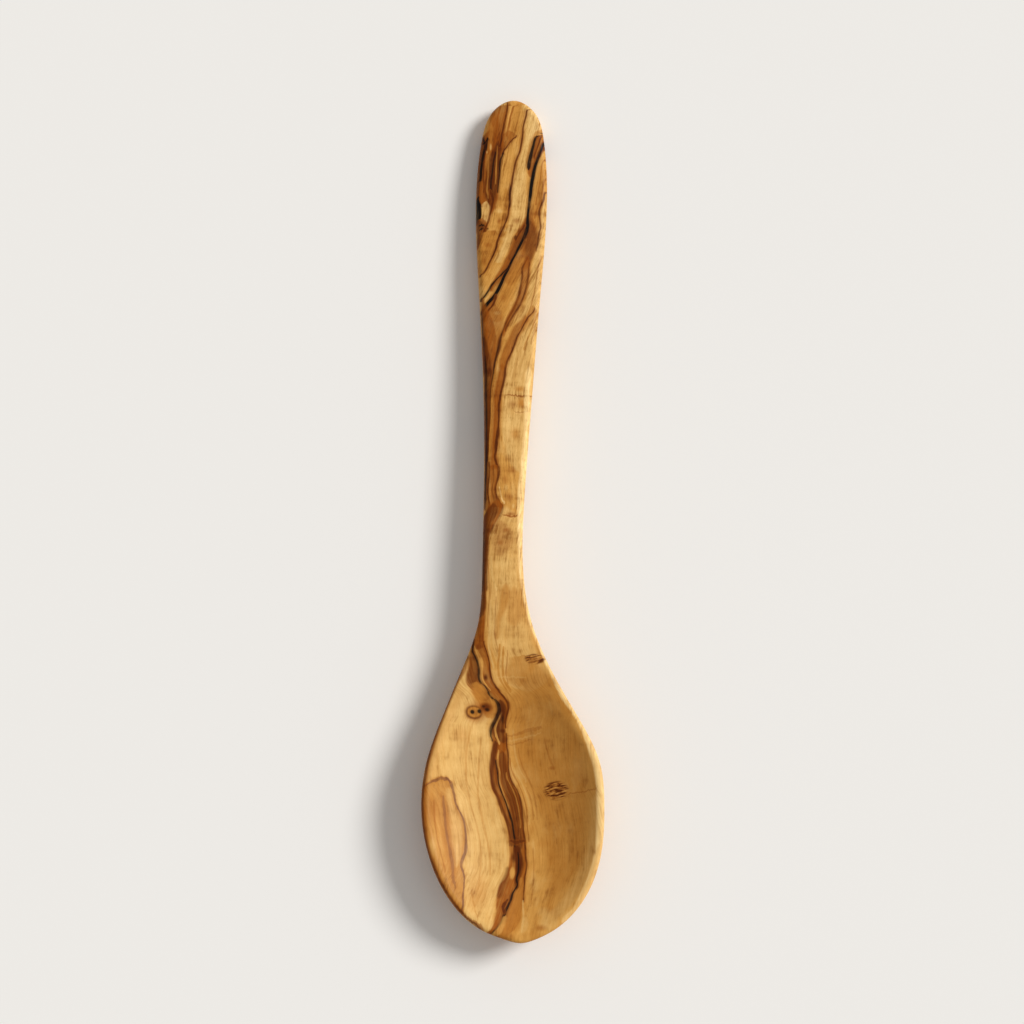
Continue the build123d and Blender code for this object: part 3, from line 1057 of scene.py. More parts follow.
BOWL_LEFT = (
    Band("pale", 0.95, 6, (
        (655, 462, 470), (668, 460, 469), (682, 455, 469), (696, 448, 473), (710, 442, 488),
        (724, 436, 489), (740, 430, 491), (760, 425, 490), (785, 422, 490), (810, 420, 499),
        (840, 422, 508), (860, 426, 508), (880, 432, 503), (900, 442, 496), (915, 455, 494),
        (930, 476, 490),
    ), 5),
    # Painted shade: this soft amber strip just inside the bowl's left rim darkens the round-over where it
    # turns away from the light.
    Band("amber", 0.4, 9, (
        (690, 455, 463), (720, 440, 450), (750, 431, 440), (780, 424, 434), (810, 421, 430),
        (850, 424, 434), (890, 438, 448), (915, 454, 464),
    ), 14),
    Line("amber", 0.45, (
        (480.6, 740, 0.8), (479, 760, 1.6), (478, 790, 1.6), (482, 820, 1.6), (489, 850, 1.6),
        (490, 875, 1.2),
    )),
    Line("amber", 0.4, (
        (470, 726, 0.8), (466.6, 750, 1.6), (466, 776, 1.6), (470, 800, 1.6), (477, 826, 1.6),
        (481, 860, 1.4), (478, 890, 1),
    )),
    Line("amber", 0.5, ((471.6, 890, 0.8), (473.4, 900, 1.2), (475.4, 910, 1.2), (478, 920, 0.8))),
    Blot("amber", 0.5, 478, 894, 15, 26, 0.9),
    Blot("amber", 0.35, 461, 735, 10, 12, 0.9),
    Band("amber", 0.8, 3.5, (
        (778, 437, 448), (785, 424, 451), (793, 420, 454), (803, 419, 455.4), (812, 418, 460),
        (822, 419, 464), (834, 420, 465.6), (848, 424, 465.6), (860, 427, 462.4), (872, 433, 463.6),
        (886, 440, 464), (900, 448, 463), (913, 456, 461.8),
    ), 3),
    Band("pale", 0.6, 5, (
        (790, 447, 452), (806, 447, 454), (820, 451, 461), (836, 452, 463), (850, 454, 461),
        (864, 455, 459),
    ), 6),
    Blot("brown", 0.4, 432, 810, 7, 18, 0.9),
    Blot("pale", 0.4, 433, 846, 5, 14, 0.9),
    Line("plum", 0.75, (
        (447, 777.6, 0.8), (449.8, 780, 2.8), (451.8, 784.6, 2.6), (453.9, 793.4, 2), (455.4, 804, 1.8),
        (458, 809, 1.8), (461.2, 813.4, 1.8), (464, 821, 1.6), (465.5, 832, 1.8), (466.2, 842, 2.2),
        (466, 850, 3), (463.6, 857, 3), (461.6, 864, 2.2), (463.4, 873, 1.6), (464, 886, 1.5),
        (463, 897, 1.6), (462.8, 905, 1.6), (461.8, 913, 1.6),
    )),
    Cross("plum", 0.7, (
        (424, 786, 0.8), (430, 782.6, 2), (434, 780.8, 2.6), (438, 780, 2.8), (441, 778.2, 2.8),
        (444.4, 778.8, 3.2), (448, 778.8, 3), (451, 781.6, 1.2),
    )),
    Band("brown", 0.4, 5, (
        (794, 440, 444), (806, 440, 449), (820, 441, 450), (836, 443, 452), (852, 446, 455),
        (866, 449, 456), (880, 451, 456), (890, 452, 455),
    ), 6),
    Line("plum", 0.45, (
        (443.4, 796, 1), (444.4, 812, 2.2), (446, 826, 2.2), (448, 840, 2), (450.4, 854, 2.4),
        (452.6, 866, 2.4), (453.4, 880, 2), (455, 888, 1),
    )),
    Line("brown", 0.4, (
        (434, 800, 0.8), (434.6, 816, 1.3), (436.4, 834, 1.3), (440, 852, 1.3), (445, 872, 1),
    )),
    # Painted shade: the brown band and the umber line down the bowl's left edge are the shade on the
    # rounded rim and outer wall that face away from the light.
    Band("brown", 0.7, 3, (
        (655, 467, 469), (690, 450, 455.5), (712, 441, 446.5), (735, 432, 438.5), (758, 425, 431.5),
        (780, 419, 427.5), (803, 417, 427), (825, 418, 427), (848, 422, 430.5), (870, 430, 438),
        (892, 442, 449.5), (915, 459, 466.5), (930, 478, 484),
    ), 8),
    Line("umber", 0.6, (
        (462, 668, 1), (453.4, 690, 2), (435.6, 735, 2.4), (424.4, 780, 3), (422.6, 803, 3), (423, 825, 3),
        (434.8, 870, 3), (463.8, 915, 2.4), (482, 931, 1.6),
    )),
)

BOWL_RIGHT = (
    Band("amber", 0.75, 12, (
        (672, 524, 546), (690, 520, 566), (710, 514, 580), (730, 512, 588), (752, 514, 594),
        (776, 522, 598), (800, 536, 600), (826, 544, 600), (850, 546, 598), (874, 548, 592),
        (896, 550, 576), (912, 552, 562),
    ), 22),
    Blot("golden", 0.45, 560, 742, 15, 26, 0.9),
    Blot("amber", 0.5, 526, 750, 17, 24, 0.9),
    Blot("golden", 0.6, 540, 865, 11, 26, 0.9),
    Blot("golden", 0.5, 566, 848, 8, 16, 0.9),
    Band("golden", 0.75, 8, (
        (716, 572, 584), (740, 578, 594), (770, 584, 598), (800, 586, 600), (830, 584, 600),
        (860, 580, 596), (885, 566, 586), (905, 552, 572),
    ), 12),
    Band("pale", 0.4, 8, (
        (800, 592, 600), (830, 590, 600), (860, 584, 596), (885, 572, 586), (905, 558, 572),
        (922, 540, 558),
    ), 12),
    Blot("amber", 0.6, 552, 858, 7, 12, 0.9),
    Band("amber", 0.7, 9, ((660, 510, 540), (668, 506, 534), (676, 504, 528), (684, 512, 524)), 6),
    Line("amber", 0.8, (
        (499.6, 644, 1), (499.2, 655, 2.2), (497.8, 665.3, 2), (498.6, 676, 2), (502, 684, 2),
        (507, 691, 1.6), (510, 697, 0.8),
    )),
    Line("amber", 0.8, (
        (503.4, 646, 1), (503, 655.3, 2.2), (502.4, 667, 2.2), (503, 677, 2), (506.6, 685, 3),
        (510.4, 692, 2),
    )),
    Line("brown", 0.5, ((507.6, 650, 0.8), (507, 662, 1.2), (506, 674, 1.2), (508, 684, 1))),
    Line("brown", 0.55, (
        (510, 758, 1), (511.6, 768, 1.4), (515, 778, 1.5), (520, 787, 1.5), (524, 798, 1.5),
        (526.6, 812, 1.5), (527.4, 828, 1.4), (528.4, 842, 1),
    )),
    Line("pale", 0.35, (
        (512, 762, 1), (515, 772, 1.8), (520.4, 781, 1.8), (525.4, 792, 2), (528.8, 806, 1.8),
        (529.4, 824, 1.4),
    )),
    Line("pale", 0.3, (
        (513, 730, 0.8), (514, 744, 1.4), (516, 758, 1.6), (520, 770, 1.6), (526, 782, 1.4),
    )),
    Line("brown", 0.4, ((526.8, 787, 1), (530.2, 797, 1.8), (532.6, 808, 2), (533, 820, 1.6))),
    Line("brown", 0.3, (
        (518, 748, 0.8), (521, 762, 1.4), (526, 774, 1.6), (531, 786, 1.6), (535, 800, 1.6),
        (537, 820, 1.4),
    )),
    Line("brown", 0.35, ((533, 848, 0.8), (534, 866, 1.4), (533, 886, 1.4), (531, 906, 1))),
    Line("brown", 0.3, (
        (544.4, 738, 0.6), (546, 745, 1.4), (548.2, 753, 1.8), (551, 762, 2), (554.6, 770, 1.8),
        (556, 774, 0.8),
    )),
    Cross("brown", 0.35, (
        (506, 736, 1), (516, 734.4, 2.4), (526, 731, 3.4), (535, 729, 3.8), (542, 728, 1),
    )),
    Cross("pale", 0.25, (
        (505, 741, 1), (514, 740, 2), (524, 738, 2), (534, 735.4, 1.6), (541, 733.6, 0.8),
    )),
    Cross("brown", 0.3, ((505, 744.6, 1), (514, 744, 1.6), (523, 742, 1.6), (531, 740, 0.8))),
    # Painted highlight: this faint pale line across the top of the hollow is light falling on the arch
    # where the hollow begins.
    Cross("pale", 0.25, ((497, 677.6, 1), (506, 677, 1.6), (516, 677, 1.6), (526, 677.6, 0.8))),
    Cross("brown", 0.45, ((562, 795, 0.8), (572, 793.4, 1.2), (584, 791.4, 1.2), (595, 789.4, 1))),
    Blot("brown", 0.5, 552, 768, 6, 3, 0.9),
    Blot("brown", 0.5, 541, 928, 9, 4.5, 0.9),
    Blot("pale", 0.4, 543, 912, 9, 7, 0.9),
    # Painted highlight: this lightest band down the neck's right edge and round the bowl's right-hand rim
    # is where light from the right falls on the rounded rim and bevel.
    Band("cream", 0.85, 2.5, (
        (372, 526, 532), (395, 524, 530), (412, 524, 531), (430, 524, 534), (450, 522.5, 534),
        (470, 520, 533), (490, 518, 531), (510, 517.6, 530), (530, 517.6, 530), (550, 518, 530),
        (570, 519, 531), (586, 521, 532), (604, 524.5, 534), (620, 528, 538), (640, 535.5, 548),
        (660, 543, 556), (680, 552.5, 568), (700, 562.5, 580), (716, 573, 590), (735, 582.5, 598),
        (755, 590, 606), (776, 594.6, 610), (800, 596.4, 612), (830, 596, 612), (852, 594.6, 610),
        (872, 589.4, 604), (892, 581, 594), (908, 573, 584), (922, 562, 572),
    ), 10),
    Band("golden", 0.5, 5, (
        (850, 596, 606), (872, 590, 602), (892, 582, 593), (908, 573, 583), (922, 560, 571),
    ), 14),
)

BOWL_BAND = (
    Band("brown", 0.85, 3, (
        (642, 472, 474), (652, 470.5, 474.5), (660, 469, 477), (668, 468, 479), (676, 466, 479),
        (682, 466, 481), (688, 469.5, 485), (693, 473, 488), (698, 476.5, 490),
    ), 4),
    Band("umber", 0.6, 3, (
        (652, 471, 475), (664, 470, 477), (672, 467.5, 478), (680, 467, 477), (687, 471, 478),
    )),
    Band("amber", 0.85, 5, (
        (684, 472, 482), (690, 473, 487), (697, 474, 492), (704, 475, 497), (711, 480, 498),
        (717, 487, 495),
    ), 4),
    Band("brown", 0.85, 2, (
        (620, 480, 484), (632, 478, 484), (641, 476, 484.6), (650, 477, 486.5), (658, 479, 488.4),
        (666, 480, 489.6), (674, 480, 490.6), (682, 482, 493), (689, 487, 498), (696, 492, 503.8),
        (702, 497, 507.6), (708, 499, 508.6), (715, 498, 507.4), (723, 495, 505.6), (731, 491.5, 505.6),
        (740, 492.5, 506.2), (748, 493, 506.8),
    ), 8),
    Band("umber", 0.85, 3, (
        (702, 498, 504), (708, 498, 507), (715, 496, 507), (722, 493, 505.4), (729, 491, 505),
        (735, 493, 505), (741, 498, 506),
    ), 5),
    Band("brown", 0.92, 2.2, (
        (744, 494, 506.6), (750, 492, 507), (758, 490.4, 507.8), (767, 489.8, 508.6), (776, 490.6, 510),
        (784, 491, 513), (792, 493, 517.4), (799, 496, 520.2), (806, 498.5, 521.6), (813, 501, 522.4),
        (820, 504.6, 523), (830, 507.8, 523.8), (840, 509, 525), (850, 509.8, 525.6), (860, 509.4, 526.4),
        (870, 507.8, 526), (879, 505, 524.6), (884, 500, 524.2), (890, 498, 523.8), (900, 496.6, 522.6),
        (912, 496, 521.6), (920, 495, 520.4), (928, 491.6, 516), (938, 486, 508),
    )),
    Band("amber", 0.7, 5, (
        (880, 517, 524), (892, 514, 525), (904, 511, 525), (914, 508, 524), (926, 504, 521),
        (938, 498, 513),
    ), 5),
    Band("umber", 0.8, 3, (
        (756, 499, 506), (768, 500, 507.4), (780, 501.5, 511), (790, 504.5, 516), (800, 508.5, 519.6),
        (812, 511.5, 521.6), (825, 513.5, 522.4), (838, 514.5, 524), (848, 514, 522),
    ), 8),
    Band("umber", 0.85, 2.5, (
        (742, 494, 497.5), (748, 492, 498), (755, 490.6, 496.4), (763, 489.8, 495), (772, 489.8, 493.6),
        (783, 491, 494.8), (795, 494.4, 498.4), (808, 499.4, 503.4), (820, 504.6, 508.4),
        (832, 508.2, 512.4), (845, 509.6, 513.6),
    ), 4),
    Line("umber", 0.6, (
        (503.4, 752, 0.8), (503, 766, 1.2), (504.6, 778, 1.2), (509, 790, 1.3), (513.4, 802, 1.4),
        (516.4, 818, 1.4), (518.4, 836, 1.2),
    )),
    Line("amber", 0.7, (
        (506.4, 772, 0.8), (509, 782, 1.2), (513.4, 791, 1.4), (517, 801, 1.4), (519.4, 814, 1.3),
        (520.6, 828, 1),
    )),
    Line("golden", 0.85, (
        (474.6, 646, 1), (476.4, 651, 2.2), (479.4, 657, 2.6), (481.6, 664, 2.6), (481.4, 672, 2.2),
        (482.6, 679.5, 1.8), (486.6, 685, 1.4), (490.5, 690, 0.8),
    )),
    Line("golden", 0.85, (
        (502, 712, 0.6), (500, 716.5, 1.6), (497, 722.5, 1.8), (495.4, 729, 2.2), (496.4, 734.5, 2.2),
        (498.4, 740, 1.8), (499.8, 744.5, 1),
    )),
    Line("golden", 0.8, (
        (498.8, 750, 0.8), (498, 756, 1.6), (497.7, 763, 1.6), (499.3, 770.5, 1.5), (499.9, 780, 1.5),
        (502, 787.5, 1.4), (504.6, 795, 1.5), (507, 802, 1.4), (509, 809, 0.8),
    )),
    Blot("umber", 0.9, 485.4, 677.5, 3, 4.6, 0.9),
    Blot("umber", 0.9, 503.6, 714, 5, 11, 0.8),
    Blot("ink", 0.7, 503.4, 720, 3, 6, 0.8),
    Blot("umber", 0.9, 502.6, 731, 4, 3, 0.8),
    Blot("umber", 0.75, 504.6, 740, 3.4, 5, 0.9),
    Line("ink", 0.82, (
        (474, 640, 0.8), (473, 646, 1.8), (472.6, 651, 2), (475.2, 657, 2), (477.6, 664, 2),
        (478.8, 671, 2.2), (478.6, 677, 2.2), (480.6, 682.4, 2), (485.2, 686.2, 1.6), (487.8, 691, 1.6),
        (490, 696, 1.8), (494.4, 700, 2.2), (498.4, 704.6, 2.8), (499.3, 709.4, 3.2), (497.6, 715.4, 3.4),
        (494.8, 721.5, 3.6), (492.2, 726.6, 3.4), (490.8, 731, 2.4), (491, 736, 1.4), (492.6, 741, 1),
    )),
    Line("umber", 0.9, (
        (484, 641, 1.2), (487.4, 654, 1.6), (489.2, 663, 1.6), (490, 672, 1.6), (491.6, 679, 1.8),
        (496, 686.6, 2), (501.4, 693.6, 2), (506.6, 700.4, 2), (508.6, 706, 2.2), (507.8, 711.5, 2),
        (506.2, 718, 1.6), (505.6, 728, 1.2),
    )),
    Line("umber", 0.85, (
        (506, 734, 1), (506.2, 745, 1.4), (507.6, 754, 1.4), (508, 763, 1.4), (509.2, 773.7, 1.6),
        (512.4, 783, 1.8), (516.8, 789.4, 1.8), (519.8, 797.6, 1.8), (521.7, 807.3, 1.8),
        (522.9, 820.3, 1.8), (523.7, 832, 1.8), (524.8, 842.5, 1.8),
    )),
    Line("umber", 0.9, (
        (524.9, 843, 1), (525.3, 849, 1.5), (526, 859.4, 1.6), (526.6, 865, 1.6), (525.6, 872.5, 1.5),
        (524.5, 882, 1.4), (523.7, 893.5, 1.2), (523.3, 902, 0.8),
    )),
    Line("ink", 0.9, (
        (495.8, 760, 0.8), (496.4, 766, 1.2), (497.6, 774.4, 1.5), (498.8, 782.8, 1.5), (501.5, 792, 1.7),
        (504.5, 799, 1.8), (507.5, 807.3, 1.8), (509.9, 815, 1.8), (512.1, 822.6, 1.8), (513.7, 832, 1.9),
        (515, 840, 2.2), (515.3, 849, 1.6), (515.6, 853, 0.6),
    )),
    Cross("umber", 0.7, (
        (510, 841, 0.8), (513, 842, 2.6), (517, 842, 3.2), (521, 841.6, 2.6), (525, 841, 0.8),
    )),
    Blot("umber", 0.9, 513.5, 857, 3.6, 8, 0.9),
    Band("umber", 0.95, 2.5, (
        (848, 514, 520), (858, 515, 523), (866, 515.6, 523.4), (874, 515.6, 521.4), (881, 515, 519),
        (888, 515, 518.4),
    ), 4),
    Blot("ink", 0.6, 519.4, 869, 2.2, 7, 0.8),
    Blot("golden", 0.95, 512.3, 873, 3.4, 7.6, 0.5),
    Line("ink", 0.9, (
        (518.2, 852, 0.8), (518.6, 860, 1.6), (518.4, 870.6, 1.8), (516.6, 879.6, 1.6), (517.2, 885.6, 1.6),
        (515, 890, 1.8), (512.8, 893.4, 2), (510.7, 900, 2.4), (507.4, 906.5, 2.8), (505, 911.6, 3.2),
        (503.8, 916, 2.6), (502.2, 921.3, 2), (498, 927.6, 1.8), (493, 934, 1.6),
    )),
    Line("umber", 0.9, ((507, 899.5, 0.8), (504.6, 903, 3.4), (503, 908, 2.6), (503.8, 913, 1.6))),
    Band("umber", 0.6, 4, (
        (868, 506, 509), (877, 503, 508), (884, 499.4, 507), (891, 498, 504), (897, 497.4, 501),
    ), 4),
    Band("golden", 0.75, 2.5, (
        (917, 503.4, 506), (922, 501, 506), (928, 497.4, 504), (934, 492, 500), (939, 488, 494),
    )),
    Line("pale", 0.6, ((523, 900, 0.8), (523.3, 912.7, 1.8), (523, 922, 2.2), (521.4, 932, 1.4))),
)

KNOT = (
    Blot("brown", 0.62, 479, 711, 18, 14, 0.95),
    Blot("brown", 0.45, 475, 718, 12, 8, 0.95),
    Blot("amber", 0.8, 474, 712.4, 10.4, 10.2, 0.7),
    Blot("brown", 0.9, 486, 707.6, 11, 8.6, 0.9),
    Blot("umber", 0.9, 473.9, 712.4, 8.9, 8, 0.35),
    Blot("amber", 0.97, 474.2, 712, 7, 6.2, 0.4),
    Blot("umber", 0.45, 474, 712.2, 5, 4.6, 0.9),
    Blot("umber", 0.9, 485.8, 707.2, 7.6, 5.8, 0.8),
    Blot("ink", 0.8, 487.4, 709.8, 3.2, 2.6, 0.7),
    Blot("ink", 0.6, 483.4, 706.4, 2.2, 1.6, 0.7),
    Blot("ink", 0.95, 472.4, 711.9, 2.6, 2.8, 0.6),
    Blot("ink", 0.95, 479.3, 711.3, 2.7, 3, 0.6),
)

FIGURE = {
    "Handle's end": HANDLE_END,
    "Long black line": LONG_BLACK_LINE,
    "Handle's left": HANDLE_LEFT,
    "Handle's right": HANDLE_RIGHT,
    "Neck": NECK,
    "Bowl's left": BOWL_LEFT,
    "Bowl's right": BOWL_RIGHT,
    "Bowl's band": BOWL_BAND,
    "Knot": KNOT,
}

# Patches of short flecks across the grain: centre x and y, radius across and along
FLECKS = ((556.4, 790.4, 15.5, 11), (535, 659, 12, 6))
FLECK_LEAN = math.radians(-13)
FLECK_LENGTH = 9
FLECK_HEIGHT = 1.8
FLECK_GROUND = 0.55

# Read down the photograph's middle, as (y, value): how far aside the grain runs, between a least and a
# most, how strongly it ripples, and how much of its fine texture shows
MIDDLE_X = 498
LEAST_RUN = 420
MOST_RUN = 530
GRAIN_RUN = (
    (100, 520), (130, 514), (160, 508), (190, 503), (220, 499), (250, 490), (280, 476), (310, 462),
    (340, 450), (370, 444), (400, 441), (460, 438), (500, 441), (525, 436), (560, 430), (640, 428),
    (660, 433), (680, 436), (700, 451), (712, 453), (728, 448), (745, 448), (770, 449), (785, 451),
    (800, 458), (820, 462), (840, 466), (862, 467), (882, 463), (905, 458), (940, 452),
)
RIPPLES = (
    (100, 0.2), (185, 0.3), (210, 0.9), (245, 1.0), (268, 0.3), (340, 0.3), (375, 0.7), (398, 1.0),
    (420, 0.7), (470, 0.7), (510, 1.0), (550, 0.8), (600, 0.5), (660, 0.7), (690, 0.35), (722, 0.5),
    (738, 0.5), (760, 0.35), (940, 0.35),
)
TEXTURE = ((100, 1.0), (540, 0.85), (640, 0.6), (690, 0.38), (940, 0.38))

# How far the layers lean through the wood's thickness from one level, and lie aside at the back
LAYER_LEAN = 0.35
LEAN_LEVEL = 12 * MM
BACK_SHIFT = 5 * MM
BACK_BALANCE = 0.15

# How far the layers wander, and how far the fibres fray the sides and the ends of a stroke
WANDER = 0.6 * MM
FRAY = 1.5 * MM
SIDE_FRAY = 0.5 * MM

# How fast each cloud of noise changes across, along and through the wood, in turns a millimetre
WANDER_TURNS = (0.2, 0.1, 0.2)
BACK_TURNS = (0.045, 0.028, 0.045)
FADING_TURNS = (0.35, 0.22, 0.35)
PATCH_TURNS = (0.16, 0.09, 0.16)
MOTTLE_TURNS = (0.32, 0.17, 0.32)

# Noise drawn out along the grain: width across, length along, detail and roughness
STREAKS = (0.9 * MM, 14 * MM, 2, 0.6)
LAYERS = (2.6 * MM, 34 * MM, 2, 0.6)
FIBRES = (0.32 * MM, 5 * MM, 2, 0.7)
PORES = (0.22 * MM, 1.3 * MM, 1, 0.5)
RING_GAP = 1.4 * MM
RING_WANDER = 14
RIPPLE_LENGTH = 3 * MM
RIPPLE_DRAWN_OUT = 0.3

# How noise is read: between which two of its values, and what share it then gives from and to
BEHIND = (0.1, -0.7)
FADING_SHARE = (0.3, 0.5, 0.75, 1)
STREAK_SHARE = (0.36, 0.58, 0.74, 1)
AMBER_PATCHES = (0.5, 0.68, 0, 0.6)
PALE_PATCHES = (0.48, 0.34, 0, 0.4)
DARK_FLECKS = (0.54, 0.42, 0, 0.95)
LIGHT_FLECKS = (0.54, 0.64, 0, 0.8)
DEEPER_SHARE = (0.02, -0.5)
LIGHTER_SHARE = (-0.02, 0.5)
RING_SHARE = (0.55, 1)
RINGED_PATCHES = (0.4, 0.62)
PORE_SHARE = (0.57, 0.7, 0, 0.6)
SATIN = (0.3, 0.7, 0.52, 0.4)

# How strongly each kind of grain shades the wood, and what shading makes of a colour's three parts
STREAK_SHADE = 1.2
FIBRE_SHADE = 1.2
LAYER_SHADE = 0.6
MOTTLE_SHADE = 0.8
RIPPLE_SHADE = 1.2
RING_SHADE = 0.4
DEEPER = (0.55, 0.42, 0.28)
LIGHTER = (1.2, 1.26, 1.42)
DARKER = (0.7, 0.6, 0.45)
FIBRE_HEIGHT = 0.06 * MM
FIBRE_STRENGTH = 0.25
SHEEN = 0.1

# Lines, in pixels: how soft their edges are, how they end, and the warmer wood beside them
LINE_EDGE = 0.9
LINE_TAPER = 2
HALO = 2.6
HALO_STRENGTH = 0.5
HALO_TINTS = {"ink": "umber", "umber": "brown", "plum": "amber"}


class Grain:
    """The wood's own coordinates in one node tree: across its layers, along them and as a spot."""

    def __init__(self, shop, across, along, spot, fading, streaks):
        self.shop = shop
        self.across = across
        self.along = along
        self.spot = spot
        self.fading = fading
        self.streaks = streaks

    def room_inside(self, rows, slack, taper, across_grain=False):
        """How deep inside a stroke the wood lies, plus a slack: rows of (centre, half width, place)."""
        rows = sorted(rows, key=lambda row: row[2])
        run, level = (self.across, self.along) if across_grain else (self.along, self.across)
        first, last = rows[0][2] - taper, rows[-1][2] + taper
        centre = run.along([(first, rows[0][0]), *((y, c) for c, _, y in rows), (last, rows[-1][0])])
        reach = run.along([(first, 0), *((y, half + slack) for _, half, y in rows), (last, 0)])
        return reach - abs(level - centre)

    def share_from(self, spot, across, along):
        """How far the wood lies from a spot, as a share of an oval's two radii."""
        factors = (1 / across, 1 / along, 0)
        away = self.shop.scaled(self.spot, factors, (-spot[0] / across, -spot[1] / along, 0))
        return self.shop.value("ShaderNodeVectorMath", {"operation": "LENGTH"}, {0: away}, output=1)


class Figure:
    """The wood's figure, with painted highlight and shade along its edges: strokes placed on the spoon as
    the photograph shows them.
    """

    def __init__(self, mesh, tints):
        self.tints = tints
        self.viewpoint = Viewpoint()
        corners = [vertex.co for vertex in mesh.vertices]
        self.surface = BVHTree.FromPolygons(corners, [face.vertices for face in mesh.polygons])

    def tint(self, name):
        return (*getattr(self.tints, name), 1)

    def spot(self, px, py, level=LEAN_LEVEL):
        """A point of the photograph as a place across and along the wood, and its height."""
        heading = self.viewpoint.ray(px, py)
        place = self.surface.ray_cast(self.viewpoint.eye, heading)[0]
        if place is None:
            place = self.viewpoint.eye + heading * (level - self.viewpoint.eye.z) / heading.z
        across = place.x + LAYER_LEAN * (place.z - LEAN_LEVEL)
        return across / FIELD + 0.5, place.y / FIELD + 0.5, place.z

    def lay_blot(self, grain, colour, blot):
        away = grain.share_from(self.spot(blot.x, blot.y), blot.across * SCALE, blot.along * SCALE)
        return grain.shop.mix(
            colour, self.tint(blot.tint), away.spread(1, 1 - blot.softness, 0, blot.strength)
        )

    def lay_band(self, grain, colour, band):
        rows = []
        for py, left, right in band.rows:
            _, along, level = self.spot((left + right) / 2, py)
            start, end = self.spot(left, py, level)[0], self.spot(right, py, level)[0]
            rows.append(((start + end) / 2, (end - start) / 2, along))
        edge = band.edge * SCALE
        room = grain.room_inside(rows, edge, band.taper * SCALE)
        share = room.spread(0.5 * edge, 1.5 * edge, 0, band.strength) * grain.streaks
        return grain.shop.mix(colour, self.tint(band.tint), share)

    def lay_line(self, grain, colour, line):
        """A thin layer, darker in some places than in others, and the warmer wood beside it; down the
        bowl's left edge the line and its warmer border are painted shade, and down the handle's and neck's
        left edges partly so.
        """
        crosses = isinstance(line, Cross)
        rows = []
        for px, py, width in line.rows:
            across, along, _ = self.spot(px, py)
            half = width / 2 * SCALE
            rows.append((along, half, across) if crosses else (across, half, along))
        slack, edge = HALO * SCALE, LINE_EDGE * SCALE
        room = grain.room_inside(rows, slack, LINE_TAPER * SCALE, crosses)
        if line.tint in HALO_TINTS:
            halo = room.spread(0, slack, 0, HALO_STRENGTH * line.strength)
            colour = grain.shop.mix(colour, self.tint(HALO_TINTS[line.tint]), halo)
        core = room.spread(slack - edge / 2, slack + edge / 2, 0, line.strength) * grain.fading
        return grain.shop.mix(colour, self.tint(line.tint), core)

    def lay_all(self, marks, shop, colour, *coordinates):
        """Lays marks over a colour, one after another."""
        grain = Grain(shop, *coordinates)
        ways = {Blot: self.lay_blot, Band: self.lay_band, Line: self.lay_line, Cross: self.lay_line}
        for mark in marks:
            colour = ways[type(mark)](grain, colour, mark)
        return colour

    def lay_flecks(self, grain, colour, px, py, across, along):
        """Short dark and light flecks that lean across the grain inside a soft oval."""
        shop = grain.shop
        inside = grain.share_from(self.spot(px, py), across * SCALE, along * SCALE).spread(1, 0.6)
        lean = {"Vector": grain.spot, "Angle": FLECK_LEAN}
        turned = shop.value("ShaderNodeVectorRotate", {"rotation_type": "Z_AXIS"}, lean)
        fleck_scale = (1 / (FLECK_LENGTH * SCALE), 1 / (FLECK_HEIGHT * SCALE), 0)
        flecks = shop.noise(shop.scaled(turned, fleck_scale), 1, 2, 0.5)
        colour = shop.mix(colour, self.tint("brown"), inside * FLECK_GROUND)
        colour = shop.mix(colour, self.tint("umber"), flecks.spread(*DARK_FLECKS) * inside)
        return shop.mix(colour, self.tint("golden"), flecks.spread(*LIGHT_FLECKS) * inside)


